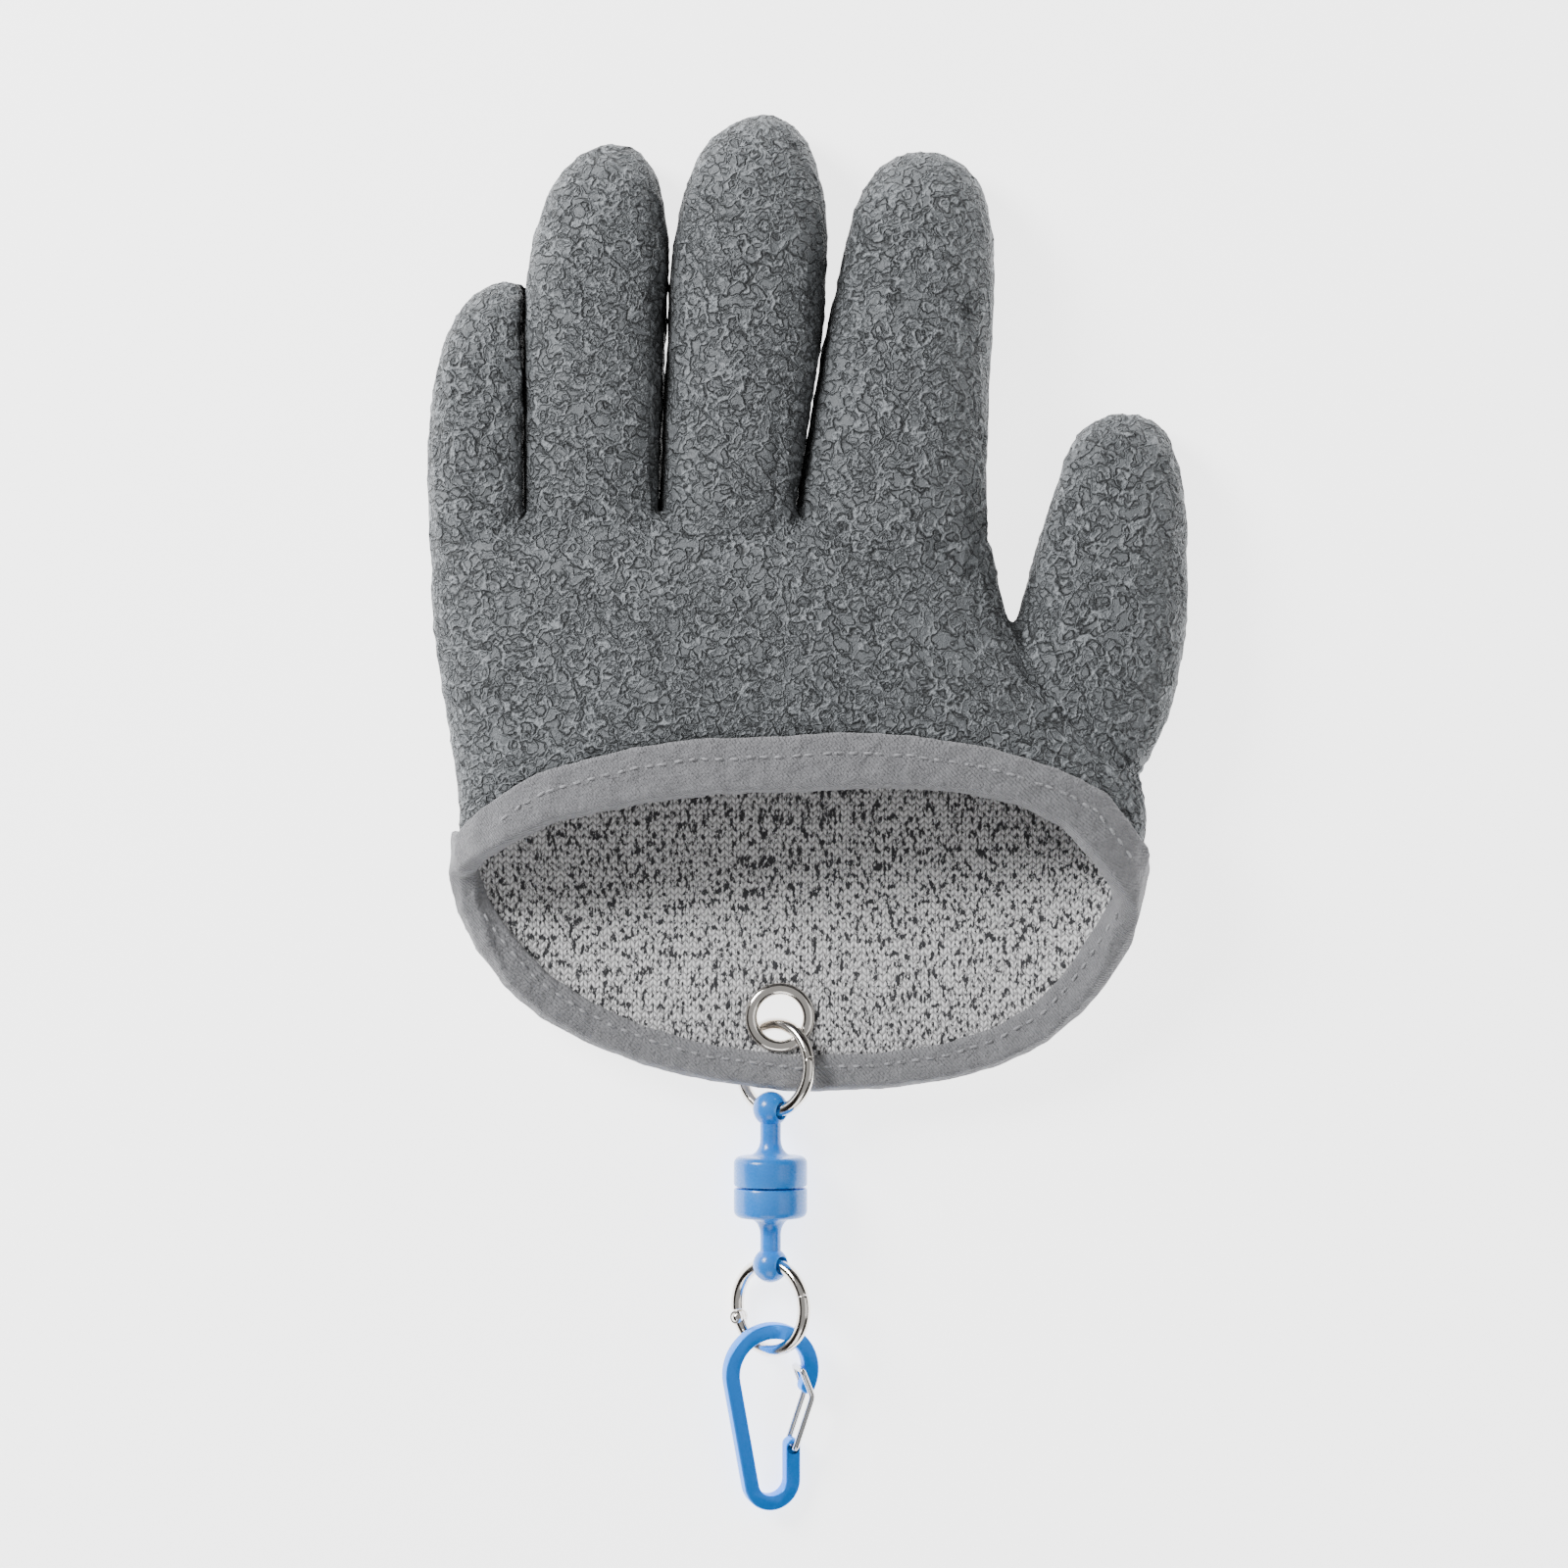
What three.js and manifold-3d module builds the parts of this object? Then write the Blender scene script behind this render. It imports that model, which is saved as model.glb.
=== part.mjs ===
// Landing glove for the left hand: a crinkled latex shell over a knitted liner, with a bound cuff,
// an eyelet, two hinged rings, a two-part magnetic release and a wire-gate clip.
// Millimetres, +Z up. It lies palm down: +Y runs to the fingertips, +X to the thumb, -Y along the chain.
import * as THREE from "three";
import { mergeVertices } from "three/addons/utils/BufferGeometryUtils.js";
import Module from "manifold-3d";

const wasm = await Module();
wasm.setup();

// Layers of the glove
const LATEX_WALL = 1.0;
const KNIT_WALL = 1.0;
const LAYER_GAP = 0.35;
const FINGER_GAP = 0.5;

// Palm of the glove, its opening and its lip
const HAND_WIDTH = 117;
const PALM_LENGTH = 109.5;
const PALM_THICKNESS = 30;
const BACK_SHORTER = 62;
const LEFT_SIDE_SHORTER = 43.5;
const RIGHT_SIDE_SHORTER = 34.5;
const LIP_RISE_FROM = 46;
const LIP_LEVEL_FROM = 24;
// Where the palm lies: its lip's share of its length behind the middle, how far it runs over the
// fingers' roots, and how far the roots reach into it
const LIP_SHARE = 0.52;
const PALM_OVER_ROOTS = 8;
const ROOTS_IN_PALM = 16;

// Tape folded round the rim of the cuff
const BINDING_ON_BACK = 9.2;
const BINDING_ON_LIP = 5.6;
const BINDING_SLACK = 0.7;
const BINDING_WALL = 1.0;

// Fingers and thumb: length from the root inside the palm to the tip
const LITTLE = { length: 68, width: 22.8, thickness: 20 };
const RING = { length: 98, width: 30.4, thickness: 23 };
const MIDDLE = { length: 107, width: 34, thickness: 24.5 };
const INDEX = { length: 99.5, width: 40, thickness: 26 };
const THUMB = { length: 80, width: 38, thickness: 21 };

// Eyelet in the lip
const EYELET_BORE = 9.4;
const EYELET_FLANGE = 14.8;
const EYELET_WALL = 0.6;
const EYELET_TO_LIP = 13.6;
const EYELET_ASIDE = -5.9;

// Hinged rings
const LINK_DIAMETER = 18.0;
const LINK_WIRE = 2.4;
const LINK_TILT = 40;
const LINK_SEAM = 0.3;
const KNUCKLE_DIAMETER = 3.0;
const KNUCKLE_LENGTH = 2.6;

// Magnetic release, two halves alike
const MAGNET_DIAMETER = 15.2;
const MAGNET_HEIGHT = 6.2;
const MAGNET_EDGE = 1.3;
const MAGNET_SEAM = 0.3;
const NECK_DIAMETER = 4.3;
const NECK_HEIGHT = 6.8;
const BALL_DIAMETER = 7.3;
const BALL_BORE = 3.8;

// Clip: a plate bent as a pear, with a wire gate
const CLIP_LENGTH = 39.5;
const CLIP_WIDTH = 20.4;
const CLIP_FOOT_WIDTH = 12.2;
const CLIP_BAR = 3.1;
const CLIP_PLATE = 3.0;
const CLIP_ROLL = 20;
const CLIP_PITCH = 7.6;
const GATE_WIRE = 1.3;
const GATE_GAP = 0.3;

// Fineness of the meshes
const PALM_SIDES = 32;
const FINGER_SIDES = 12;
const LATHE_SIDES = 14;
const LINK_SIDES = 6;
const LINK_STEPS = 16;
const CLIP_STEPS = 7;

const rad = THREE.MathUtils.degToRad;
const v3 = (x, y, z) => new THREE.Vector3(x, y, z);
const STACK = LATEX_WALL + LAYER_GAP + KNIT_WALL;
const LINER_OUTSIDE = LATEX_WALL + LAYER_GAP;
const CHAIN_HEIGHT = MAGNET_DIAMETER / 2;

// Places along the glove: the lip's edge, the palm's far end and the roots of the fingers
const LIP_Y = -PALM_LENGTH * LIP_SHARE;
const PALM_END_Y = LIP_Y + PALM_LENGTH + PALM_OVER_ROOTS;
const ROOT_Y = LIP_Y + PALM_LENGTH - ROOTS_IN_PALM;

// How far the rim stands back from the lip, round the section: angle 0 is the thumb's side, 90 the back
// and 270 the lip. Back rows are shares of BACK_SHORTER, with the sides' own sizes at 0 and 180.
const RIM_ROUND = [
  { angle: 0, share: 0 },
  { angle: 15, share: 0.17 },
  { angle: 30, share: 0.38 },
  { angle: 45, share: 0.73 },
  { angle: 60, share: 0.96 },
  { angle: 75, share: 1.04 },
  { angle: 90, share: 1.0 },
  { angle: 105, share: 0.96 },
  { angle: 120, share: 0.8 },
  { angle: 135, share: 0.63 },
  { angle: 150, share: 0.34 },
  { angle: 165, share: 0.12 },
  { angle: 180, share: 0 },
];
const LIP_ROUND = [
  { angle: 180, share: 1 },
  { angle: 195, share: 0.77 },
  { angle: 210, share: 0.54 },
  { angle: 225, share: 0.345 },
  { angle: 240, share: 0.19 },
  { angle: 255, share: 0.065 },
  { angle: 270, share: 0 },
  { angle: 285, share: 0.02 },
  { angle: 300, share: 0.11 },
  { angle: 315, share: 0.29 },
  { angle: 330, share: 0.54 },
  { angle: 345, share: 0.79 },
  { angle: 360, share: 1 },
];

// Sides and height of the palm: along as a share of the palm's length from the lip, sides as shares
// of the hand's width, top as a share of the palm's thickness.
const PALM_SECTIONS = [
  { along: -0.1, left: -0.612, right: 0.56, top: 1.0 },
  { along: 0.3, left: -0.612, right: 0.56, top: 1.0 },
  { along: 0.385, left: -0.618, right: 0.58, top: 1.0 },
  { along: 0.46, left: -0.613, right: 0.598, top: 1.0 },
  { along: 0.535, left: -0.613, right: 0.605, top: 1.0 },
  { along: 0.6, left: -0.622, right: 0.575, top: 1.0 },
  { along: 0.66, left: -0.633, right: 0.505, top: 0.99 },
  { along: 0.72, left: -0.642, right: 0.435, top: 0.98 },
  { along: 0.78, left: -0.652, right: 0.385, top: 0.97 },
  { along: 0.84, left: -0.659, right: 0.355, top: 0.95 },
  { along: 0.92, left: -0.667, right: 0.337, top: 0.92 },
  { along: 1.0, left: -0.662, right: 0.327, top: 0.86 },
  { along: 1.04, left: -0.63, right: 0.3, top: 0.72 },
  { along: 1.1, left: -0.58, right: 0.26, top: 0.5 },
];

// Fingers: along as a share of the length, aside and wide as shares of the width, high of the thickness.
// beside is the middle of the root as a share of the hand's width, and forward moves the root along.
const FINGERS = [
  {
    size: INDEX, beside: 0.14, forward: 0, rows: [
      { along: 0, aside: 0, wide: 1.0, high: 0.9 },
      { along: 0.26, aside: 0.012, wide: 1.01, high: 0.98 },
      { along: 0.54, aside: 0.08, wide: 0.91, high: 0.92 },
      { along: 0.77, aside: 0.158, wide: 0.83, high: 0.85 },
      { along: 0.91, aside: 0.185, wide: 0.68, high: 0.7 },
      { along: 0.975, aside: 0.183, wide: 0.41, high: 0.5 },
      { along: 1.0, aside: 0.18, wide: 0, high: 0.34 },
    ],
  },
  {
    size: MIDDLE, beside: -0.146, forward: 0, rows: [
      { along: 0, aside: 0, wide: 0.94, high: 0.9 },
      { along: 0.24, aside: 0.05, wide: 0.92, high: 0.98 },
      { along: 0.5, aside: 0.11, wide: 0.98, high: 0.98 },
      { along: 0.78, aside: 0.152, wide: 0.98, high: 0.9 },
      { along: 0.92, aside: 0.18, wide: 0.74, high: 0.72 },
      { along: 0.978, aside: 0.205, wide: 0.42, high: 0.5 },
      { along: 1.0, aside: 0.225, wide: 0, high: 0.34 },
    ],
  },
  {
    size: RING, beside: -0.367, forward: 0.03, rows: [
      { along: 0, aside: 0, wide: 0.98, high: 0.9 },
      { along: 0.25, aside: -0.025, wide: 1.0, high: 0.98 },
      { along: 0.52, aside: -0.035, wide: 1.01, high: 0.98 },
      { along: 0.77, aside: -0.012, wide: 0.99, high: 0.9 },
      { along: 0.91, aside: 0.04, wide: 0.78, high: 0.74 },
      { along: 0.976, aside: 0.08, wide: 0.45, high: 0.5 },
      { along: 1.0, aside: 0.1, wide: 0, high: 0.34 },
    ],
  },
  {
    size: LITTLE, beside: -0.567, forward: 0.04, rows: [
      { along: 0, aside: 0, wide: 0.98, high: 0.9 },
      { along: 0.28, aside: -0.048, wide: 0.99, high: 0.98 },
      { along: 0.6, aside: -0.05, wide: 0.97, high: 1.0 },
      { along: 0.82, aside: 0.03, wide: 0.87, high: 0.88 },
      { along: 0.925, aside: 0.1, wide: 0.68, high: 0.7 },
      { along: 0.978, aside: 0.152, wide: 0.4, high: 0.48 },
      { along: 1.0, aside: 0.18, wide: 0, high: 0.36 },
    ],
  },
];
const THUMB_FORM = {
  size: THUMB, beside: 0.43, forward: -0.315, rows: [
    { along: 0, aside: 0, wide: 0.7, high: 0.8 },
    { along: 0.08, aside: 0.07, wide: 0.9, high: 0.92 },
    { along: 0.2, aside: 0.155, wide: 1.0, high: 1.0 },
    { along: 0.42, aside: 0.255, wide: 0.97, high: 0.98 },
    { along: 0.62, aside: 0.318, wide: 0.87, high: 0.92 },
    { along: 0.8, aside: 0.37, wide: 0.73, high: 0.83 },
    { along: 0.92, aside: 0.376, wide: 0.58, high: 0.68 },
    { along: 0.976, aside: 0.385, wide: 0.35, high: 0.5 },
    { along: 1.0, aside: 0.395, wide: 0, high: 0.36 },
  ],
};

// A value between the rows of a table, by straight lines
function between(rows, key, at, column) {
  if (at <= rows[0][key]) return rows[0][column];
  for (let i = 1; i < rows.length; i++) {
    const before = rows[i - 1];
    const after = rows[i];
    if (at <= after[key]) {
      const share = (at - before[key]) / (after[key] - before[key]);
      return before[column] + share * (after[column] - before[column]);
    }
  }
  return rows[rows.length - 1][column];
}

// How high the underside stands: flat on the surface, then up to the lip, level with the chain
function underside(y) {
  const rise = CHAIN_HEIGHT - STACK / 2;
  return rise * THREE.MathUtils.smoothstep(LIP_Y + LIP_RISE_FROM - y, 0, LIP_RISE_FROM - LIP_LEVEL_FROM);
}

// The rim's place along the glove at an angle round the section
function rimY(angle) {
  const back = angle <= 180;
  const rows = back ? RIM_ROUND : LIP_ROUND;
  const share = between(rows, "angle", angle, "share");
  const side = (back ? angle <= 90 : angle >= 270) ? RIGHT_SIDE_SHORTER : LEFT_SIDE_SHORTER;
  return LIP_Y + (back ? side + share * (BACK_SHORTER - side) : side * share);
}

// Where a rounded box of a section lies at an angle: its floor cuts it flat
function sectionPoint(angle, left, right, low, high, y) {
  const ROUNDNESS = 0.84;
  const FLAT_CUT = 1.1;
  const c = Math.cos(rad(angle));
  const s = Math.sin(rad(angle));
  const across = Math.sign(c) * Math.abs(c) ** ROUNDNESS;
  const upward = Math.sign(s) * Math.abs(s) ** ROUNDNESS;
  const x = (left + right) / 2 + (across * (right - left)) / 2;
  const half = (high - low) / 2;
  const reach = s < 0 ? half * FLAT_CUT : half;
  return v3(x, y, Math.max(low, low + half + upward * reach));
}

function palmPoint(angle, y) {
  const along = (y - LIP_Y) / PALM_LENGTH;
  const left = between(PALM_SECTIONS, "along", along, "left") * HAND_WIDTH;
  const right = between(PALM_SECTIONS, "along", along, "right") * HAND_WIDTH;
  const top = between(PALM_SECTIONS, "along", along, "top") * PALM_THICKNESS;
  return sectionPoint(angle, left, right, underside(y), Math.max(top, underside(y) + 2 * STACK), y);
}

// Rows of points become one closed skin: a fan closes each end on its own point
function closedSkin(rows, firstPole, lastPole) {
  const sides = rows[0].length;
  const points = [firstPole, ...rows.flat(), lastPole];
  const index = [];
  const at = (row, side) => 1 + row * sides + (side % sides);
  for (let side = 0; side < sides; side++) {
    index.push(0, at(0, side), at(0, side + 1));
    index.push(points.length - 1, at(rows.length - 1, side + 1), at(rows.length - 1, side));
    for (let row = 0; row + 1 < rows.length; row++) {
      index.push(at(row, side), at(row + 1, side), at(row + 1, side + 1));
      index.push(at(row, side), at(row + 1, side + 1), at(row, side + 1));
    }
  }
  const geometry = new THREE.BufferGeometry().setFromPoints(points);
  geometry.setIndex(index);
  return geometry;
}

function solidFrom(geometry) {
  const bare = new THREE.BufferGeometry().setAttribute("position", geometry.getAttribute("position"));
  bare.setIndex(geometry.index);
  const merged = mergeVertices(bare, 1e-4);
  const mesh = new wasm.Mesh({
    numProp: 3,
    vertProperties: new Float32Array(merged.attributes.position.array),
    triVerts: new Uint32Array(merged.index.array),
  });
  return new wasm.Manifold(mesh);
}

function geometryFrom(solid) {
  const mesh = solid.getMesh();
  const places = new Float32Array(mesh.numVert * 3);
  for (let i = 0; i < mesh.numVert; i++) {
    places.set(mesh.vertProperties.subarray(i * mesh.numProp, i * mesh.numProp + 3), i * 3);
  }
  const geometry = new THREE.BufferGeometry();
  geometry.setAttribute("position", new THREE.BufferAttribute(places, 3));
  geometry.setIndex(new THREE.BufferAttribute(new Uint32Array(mesh.triVerts), 1));
  geometry.computeVertexNormals();
  return geometry;
}

// The same rows moved along their own normals, inwards where the distance is negative
function offsetRows(rows, distance) {
  const sides = rows[0].length;
  return rows.map((row, r) =>
    row.map((point, side) => {
      const round = v3(0, 0, 0).subVectors(row[(side + 1) % sides], row[(side + sides - 1) % sides]);
      const next = rows[Math.min(r + 1, rows.length - 1)][side];
      const last = rows[Math.max(r - 1, 0)][side];
      const along = v3(0, 0, 0).subVectors(next, last);
      const normal = along.cross(round).normalize();
      return point.clone().addScaledVector(normal, -distance);
    }),
  );
}

const PALM_ANGLES = Array.from({ length: PALM_SIDES }, (_, i) => (360 * i) / PALM_SIDES);
const FINGER_ANGLES = Array.from({ length: FINGER_SIDES }, (_, i) => (360 * (i + 0.5)) / FINGER_SIDES);
const TAPE_ROWS = [0, 0.6, 1];
const BODY_ROWS = [0.15, 0.3, 0.5, 0.72, 0.88, 1];

// Along the rim at an angle: which way it runs there
function rimRun(angle) {
  const STEP = 5;
  const at = (turn) => palmPoint(turn, rimY((turn + 360) % 360));
  return v3(0, 0, 0).subVectors(at(angle + STEP), at(angle - STEP)).normalize();
}

// How far the tape reaches along the glove: longer where the rim runs aslant, so that its width holds
function tapeReach(angle) {
  const LEAST_ACROSS = 0.6;
  const run = rimRun(angle);
  const across = Math.max(LEAST_ACROSS, Math.sqrt(1 - run.y ** 2));
  const backShare = Math.max(0, Math.sin(rad(angle)));
  return (BINDING_ON_LIP + backShare * (BINDING_ON_BACK - BINDING_ON_LIP)) / across;
}

// The palm from the rim to its closed far end
function palmRows() {
  const tape = TAPE_ROWS.map((share) => PALM_ANGLES.map((a) => palmPoint(a, rimY(a) + share * tapeReach(a))));
  const body = BODY_ROWS.map((share) =>
    PALM_ANGLES.map((a) => {
      const start = rimY(a) + tapeReach(a);
      return palmPoint(a, start + share * (PALM_END_Y - start));
    }),
  );
  return [...tape, ...body];
}

function middleOf(row) {
  return row.reduce((sum, point) => sum.add(point), v3(0, 0, 0)).divideScalar(row.length);
}

// The palm as a solid that lies inside its outer skin by a depth. A core runs out past the rim.
function palmSolid(depth, isCore) {
  const MOUTH_FACE = 4;
  const CORE_RUN_OUT = 30;
  const rows = offsetRows(palmRows(), depth);
  rows[rows.length - 1].forEach((point) => point.add(v3(0, -depth, 0)));
  const mouth = isCore
    ? rows[0].map((point) => point.clone().add(v3(0, -CORE_RUN_OUT, 0)))
    : offsetRows(palmRows(), depth + MOUTH_FACE)[0];
  const mouthPole = middleOf(mouth).add(v3(0, isCore ? 0 : BACK_SHORTER, 0));
  return solidFrom(closedSkin([mouth, ...rows], mouthPole, middleOf(rows[rows.length - 1])));
}

// A finger as a solid inside its outer skin by a depth, or outside it where the depth is negative
function fingerSolid({ size, beside, forward, rows }, depth) {
  const root = v3(beside * HAND_WIDTH, ROOT_Y + forward * PALM_LENGTH, 0);
  const rings = rows.slice(0, -1).map(({ along, aside, wide, high }) => {
    const x = root.x + aside * size.width;
    const half = (wide * size.width) / 2;
    const y = root.y + along * size.length;
    return FINGER_ANGLES.map((a) => sectionPoint(a, x - half, x + half, 0, high * size.thickness, y));
  });
  const tip = rows[rows.length - 1];
  const pole = v3(root.x + tip.aside * size.width, root.y + size.length - depth, tip.high * size.thickness);
  const skin = offsetRows(rings, depth);
  skin[0].forEach((point) => point.add(v3(0, depth, 0)));
  return solidFrom(closedSkin(skin, middleOf(skin[0]), pole));
}

// Palm, fingers and thumb joined. A finger gives way to the one that lies over its edge.
function handSolid(depth, isCore) {
  let hand = palmSolid(depth, isCore).add(fingerSolid(THUMB_FORM, depth));
  FINGERS.forEach((finger, i) => {
    let solid = fingerSolid(finger, depth);
    if (i > 0) solid = solid.subtract(fingerSolid(FINGERS[i - 1], -(FINGER_GAP + depth)));
    hand = hand.add(solid);
  });
  return hand;
}

// The tape round the rim: one section of the fold at each angle, joined into a closed band
function bindingSolid() {
  const inside = STACK + LAYER_GAP;
  const depths = [-LAYER_GAP, -LAYER_GAP - BINDING_WALL, inside, inside + BINDING_WALL, STACK / 2];
  const [near, outer, inner, lining, middle] = depths.map((depth) => offsetRows(palmRows(), depth));
  const sections = PALM_ANGLES.map((_, i) => {
    const run = rimRun(PALM_ANGLES[i]);
    const outward = v3(0, 0, 0).subVectors(outer[0][i], near[0][i]);
    const out = outward.cross(run).normalize();
    const past = (point, distance) => point.clone().addScaledVector(out, distance);
    const fold = BINDING_SLACK + BINDING_WALL;
    return [
      near[2][i], near[1][i], past(near[0][i], BINDING_SLACK), past(inner[0][i], BINDING_SLACK), inner[1][i],
      inner[2][i], lining[2][i], lining[1][i], past(lining[0][i], BINDING_SLACK), past(middle[0][i], fold),
      past(outer[0][i], BINDING_SLACK), outer[1][i], outer[2][i],
    ];
  });
  const count = sections[0].length;
  const FACES_ON_SHELL = 2;
  const index = [];
  sections.forEach((_, i) => {
    const next = (i + 1) % sections.length;
    for (let k = 0; k < count; k++) {
      const after = (k + 1) % count;
      const corners = [i * count + k, i * count + after, next * count + after, next * count + k];
      const first = k < FACES_ON_SHELL ? 1 : 0;
      const [a, b, c, d] = [...corners.slice(first), ...corners.slice(0, first)];
      index.push(a, b, c, a, c, d);
    }
  });
  const geometry = new THREE.BufferGeometry().setFromPoints(sections.flat());
  geometry.setIndex(index);
  return solidFrom(geometry);
}

// A turned solid about +Y from a closed profile of [radius, height] rows
function turned(profile) {
  const points = profile.map(([radius, height]) => new THREE.Vector2(radius, height));
  return new THREE.LatheGeometry(points, LATHE_SIDES);
}

// The eyelet, standing on the lip: a barrel with a flange above and a washer below
const EYELET_AT = v3(EYELET_ASIDE, LIP_Y + EYELET_TO_LIP, underside(LIP_Y + EYELET_TO_LIP));
function placeOnLip(geometry) {
  return geometry.rotateX(Math.PI / 2).translate(EYELET_AT.x, EYELET_AT.y, EYELET_AT.z);
}

function eyeletGeometry() {
  const bore = EYELET_BORE / 2;
  const rim = EYELET_FLANGE / 2;
  const top = STACK + LAYER_GAP;
  const roll = EYELET_WALL;
  return placeOnLip(turned([
    [bore, -LAYER_GAP], [bore + roll, -LAYER_GAP - roll], [rim, -LAYER_GAP - roll], [rim, -LAYER_GAP],
    [bore + roll, -LAYER_GAP], [bore + roll, top], [rim, top], [rim - roll, top + roll],
    [bore + roll, top + roll], [bore, top], [bore, -LAYER_GAP],
  ]));
}

function eyeletHole() {
  const radius = EYELET_BORE / 2 + EYELET_WALL + LAYER_GAP;
  const reach = 4 * STACK;
  const hole = new THREE.CylinderGeometry(radius, radius, 2 * reach, LATHE_SIDES);
  return solidFrom(placeOnLip(hole.rotateY(Math.PI / LATHE_SIDES)));
}

// A tube with flat ends along a curve
class Arc extends THREE.Curve {
  constructor(place, from, to) {
    super();
    this.place = place;
    this.from = from;
    this.to = to;
  }
  getPoint(share) {
    return this.place(this.from + share * (this.to - this.from));
  }
}

function roundSection(radius, sides) {
  const corners = Array.from({ length: sides }, (_, i) => {
    const turn = (2 * Math.PI * i) / sides;
    return new THREE.Vector2(radius * Math.cos(turn), radius * Math.sin(turn));
  });
  return new THREE.Shape(corners);
}

function wireAlong(curve, diameter, steps) {
  const section = roundSection(diameter / 2, LINK_SIDES);
  return new THREE.ExtrudeGeometry(section, { steps, bevelEnabled: false, extrudePath: curve });
}

// A hinged ring between two points, tilted so that its thumb side stands high
const HINGE_AT = 252;
const CLASP_AT = 72;
function linkFrame(start, end) {
  const along = v3(0, 0, 0).subVectors(end, start).normalize();
  const level = v3(0, 0, 1).cross(along).normalize();
  const aside = level.multiplyScalar(Math.cos(rad(LINK_TILT))).add(v3(0, 0, Math.sin(rad(LINK_TILT))));
  const centre = start.clone().add(end).multiplyScalar(0.5);
  const radius = LINK_DIAMETER / 2;
  const at = (angle) =>
    centre.clone().addScaledVector(along, -radius * Math.cos(rad(angle)))
      .addScaledVector(aside, radius * Math.sin(rad(angle)));
  return { at, along, aside, normal: along.clone().cross(aside).normalize() };
}

function linkHalves(start, end) {
  const frame = linkFrame(start, end);
  const perMm = 360 / (Math.PI * LINK_DIAMETER);
  const seam = LINK_SEAM * perMm;
  const knuckle = (KNUCKLE_DIAMETER / 2 + LINK_SEAM) * perMm;
  const fixed = new Arc(frame.at, CLASP_AT + seam / 2, HINGE_AT);
  const swinging = new Arc(frame.at, HINGE_AT + knuckle, CLASP_AT + 360 - seam / 2);
  const barrel = new THREE.CylinderGeometry(
    KNUCKLE_DIAMETER / 2, KNUCKLE_DIAMETER / 2, KNUCKLE_LENGTH, LATHE_SIDES,
  );
  barrel.applyQuaternion(new THREE.Quaternion().setFromUnitVectors(v3(0, 1, 0), frame.normal));
  const hinge = frame.at(HINGE_AT);
  barrel.translate(hinge.x, hinge.y, hinge.z);
  const barrelSolid = solidFrom(barrel);
  const fixedSolid = solidFrom(wireAlong(fixed, LINK_WIRE, LINK_STEPS)).add(barrelSolid);
  return {
    fixed: geometryFrom(fixedSolid),
    swinging: wireAlong(swinging, LINK_WIRE, LINK_STEPS),
    frame,
  };
}

// Half of the magnetic release: parting face at height 0, ball on top, bored along the ring's wire
const NECK_RADIUS = NECK_DIAMETER / 2;
const BALL_RADIUS = BALL_DIAMETER / 2;
const BALL_RISE = Math.sqrt(BALL_RADIUS ** 2 - NECK_RADIUS ** 2);
const BALL_AT = MAGNET_HEIGHT + NECK_HEIGHT + BALL_RISE;
const WIRE_SAG = BALL_RADIUS ** 2 / (2 * LINK_DIAMETER);
function magnetGeometry(ball, upwards, boreAxis) {
  const rim = MAGNET_DIAMETER / 2;
  const profile = [
    [0, 0], [rim - MAGNET_EDGE / 3, 0], [rim, MAGNET_EDGE / 3], [rim, MAGNET_HEIGHT - MAGNET_EDGE],
    [rim - 0.3 * MAGNET_EDGE, MAGNET_HEIGHT - 0.3 * MAGNET_EDGE], [rim - MAGNET_EDGE, MAGNET_HEIGHT],
    [NECK_RADIUS + 0.35 * NECK_HEIGHT, MAGNET_HEIGHT + 0.06 * NECK_HEIGHT],
    [NECK_RADIUS + 0.12 * NECK_HEIGHT, MAGNET_HEIGHT + 0.25 * NECK_HEIGHT],
    [NECK_RADIUS, MAGNET_HEIGHT + 0.55 * NECK_HEIGHT], [NECK_RADIUS, MAGNET_HEIGHT + NECK_HEIGHT],
  ];
  const low = -Math.asin(BALL_RISE / BALL_RADIUS);
  const BALL_ROWS = 5;
  for (let i = 1; i <= BALL_ROWS; i++) {
    const turn = low + (i / BALL_ROWS) * (Math.PI / 2 - low);
    const radius = i < BALL_ROWS ? BALL_RADIUS * Math.cos(turn) : 0;
    profile.push([radius, BALL_AT + BALL_RADIUS * Math.sin(turn)]);
  }
  const body = turned(profile).translate(0, -BALL_AT, 0);
  if (!upwards) body.rotateZ(Math.PI);
  body.translate(ball.x, ball.y, ball.z);
  const bore = new THREE.CylinderGeometry(BALL_BORE / 2, BALL_BORE / 2, 2 * BALL_DIAMETER, LATHE_SIDES);
  bore.applyQuaternion(new THREE.Quaternion().setFromUnitVectors(v3(0, 1, 0), boreAxis));
  bore.translate(ball.x, ball.y, ball.z);
  return geometryFrom(solidFrom(body).subtract(solidFrom(bore)));
}

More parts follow.
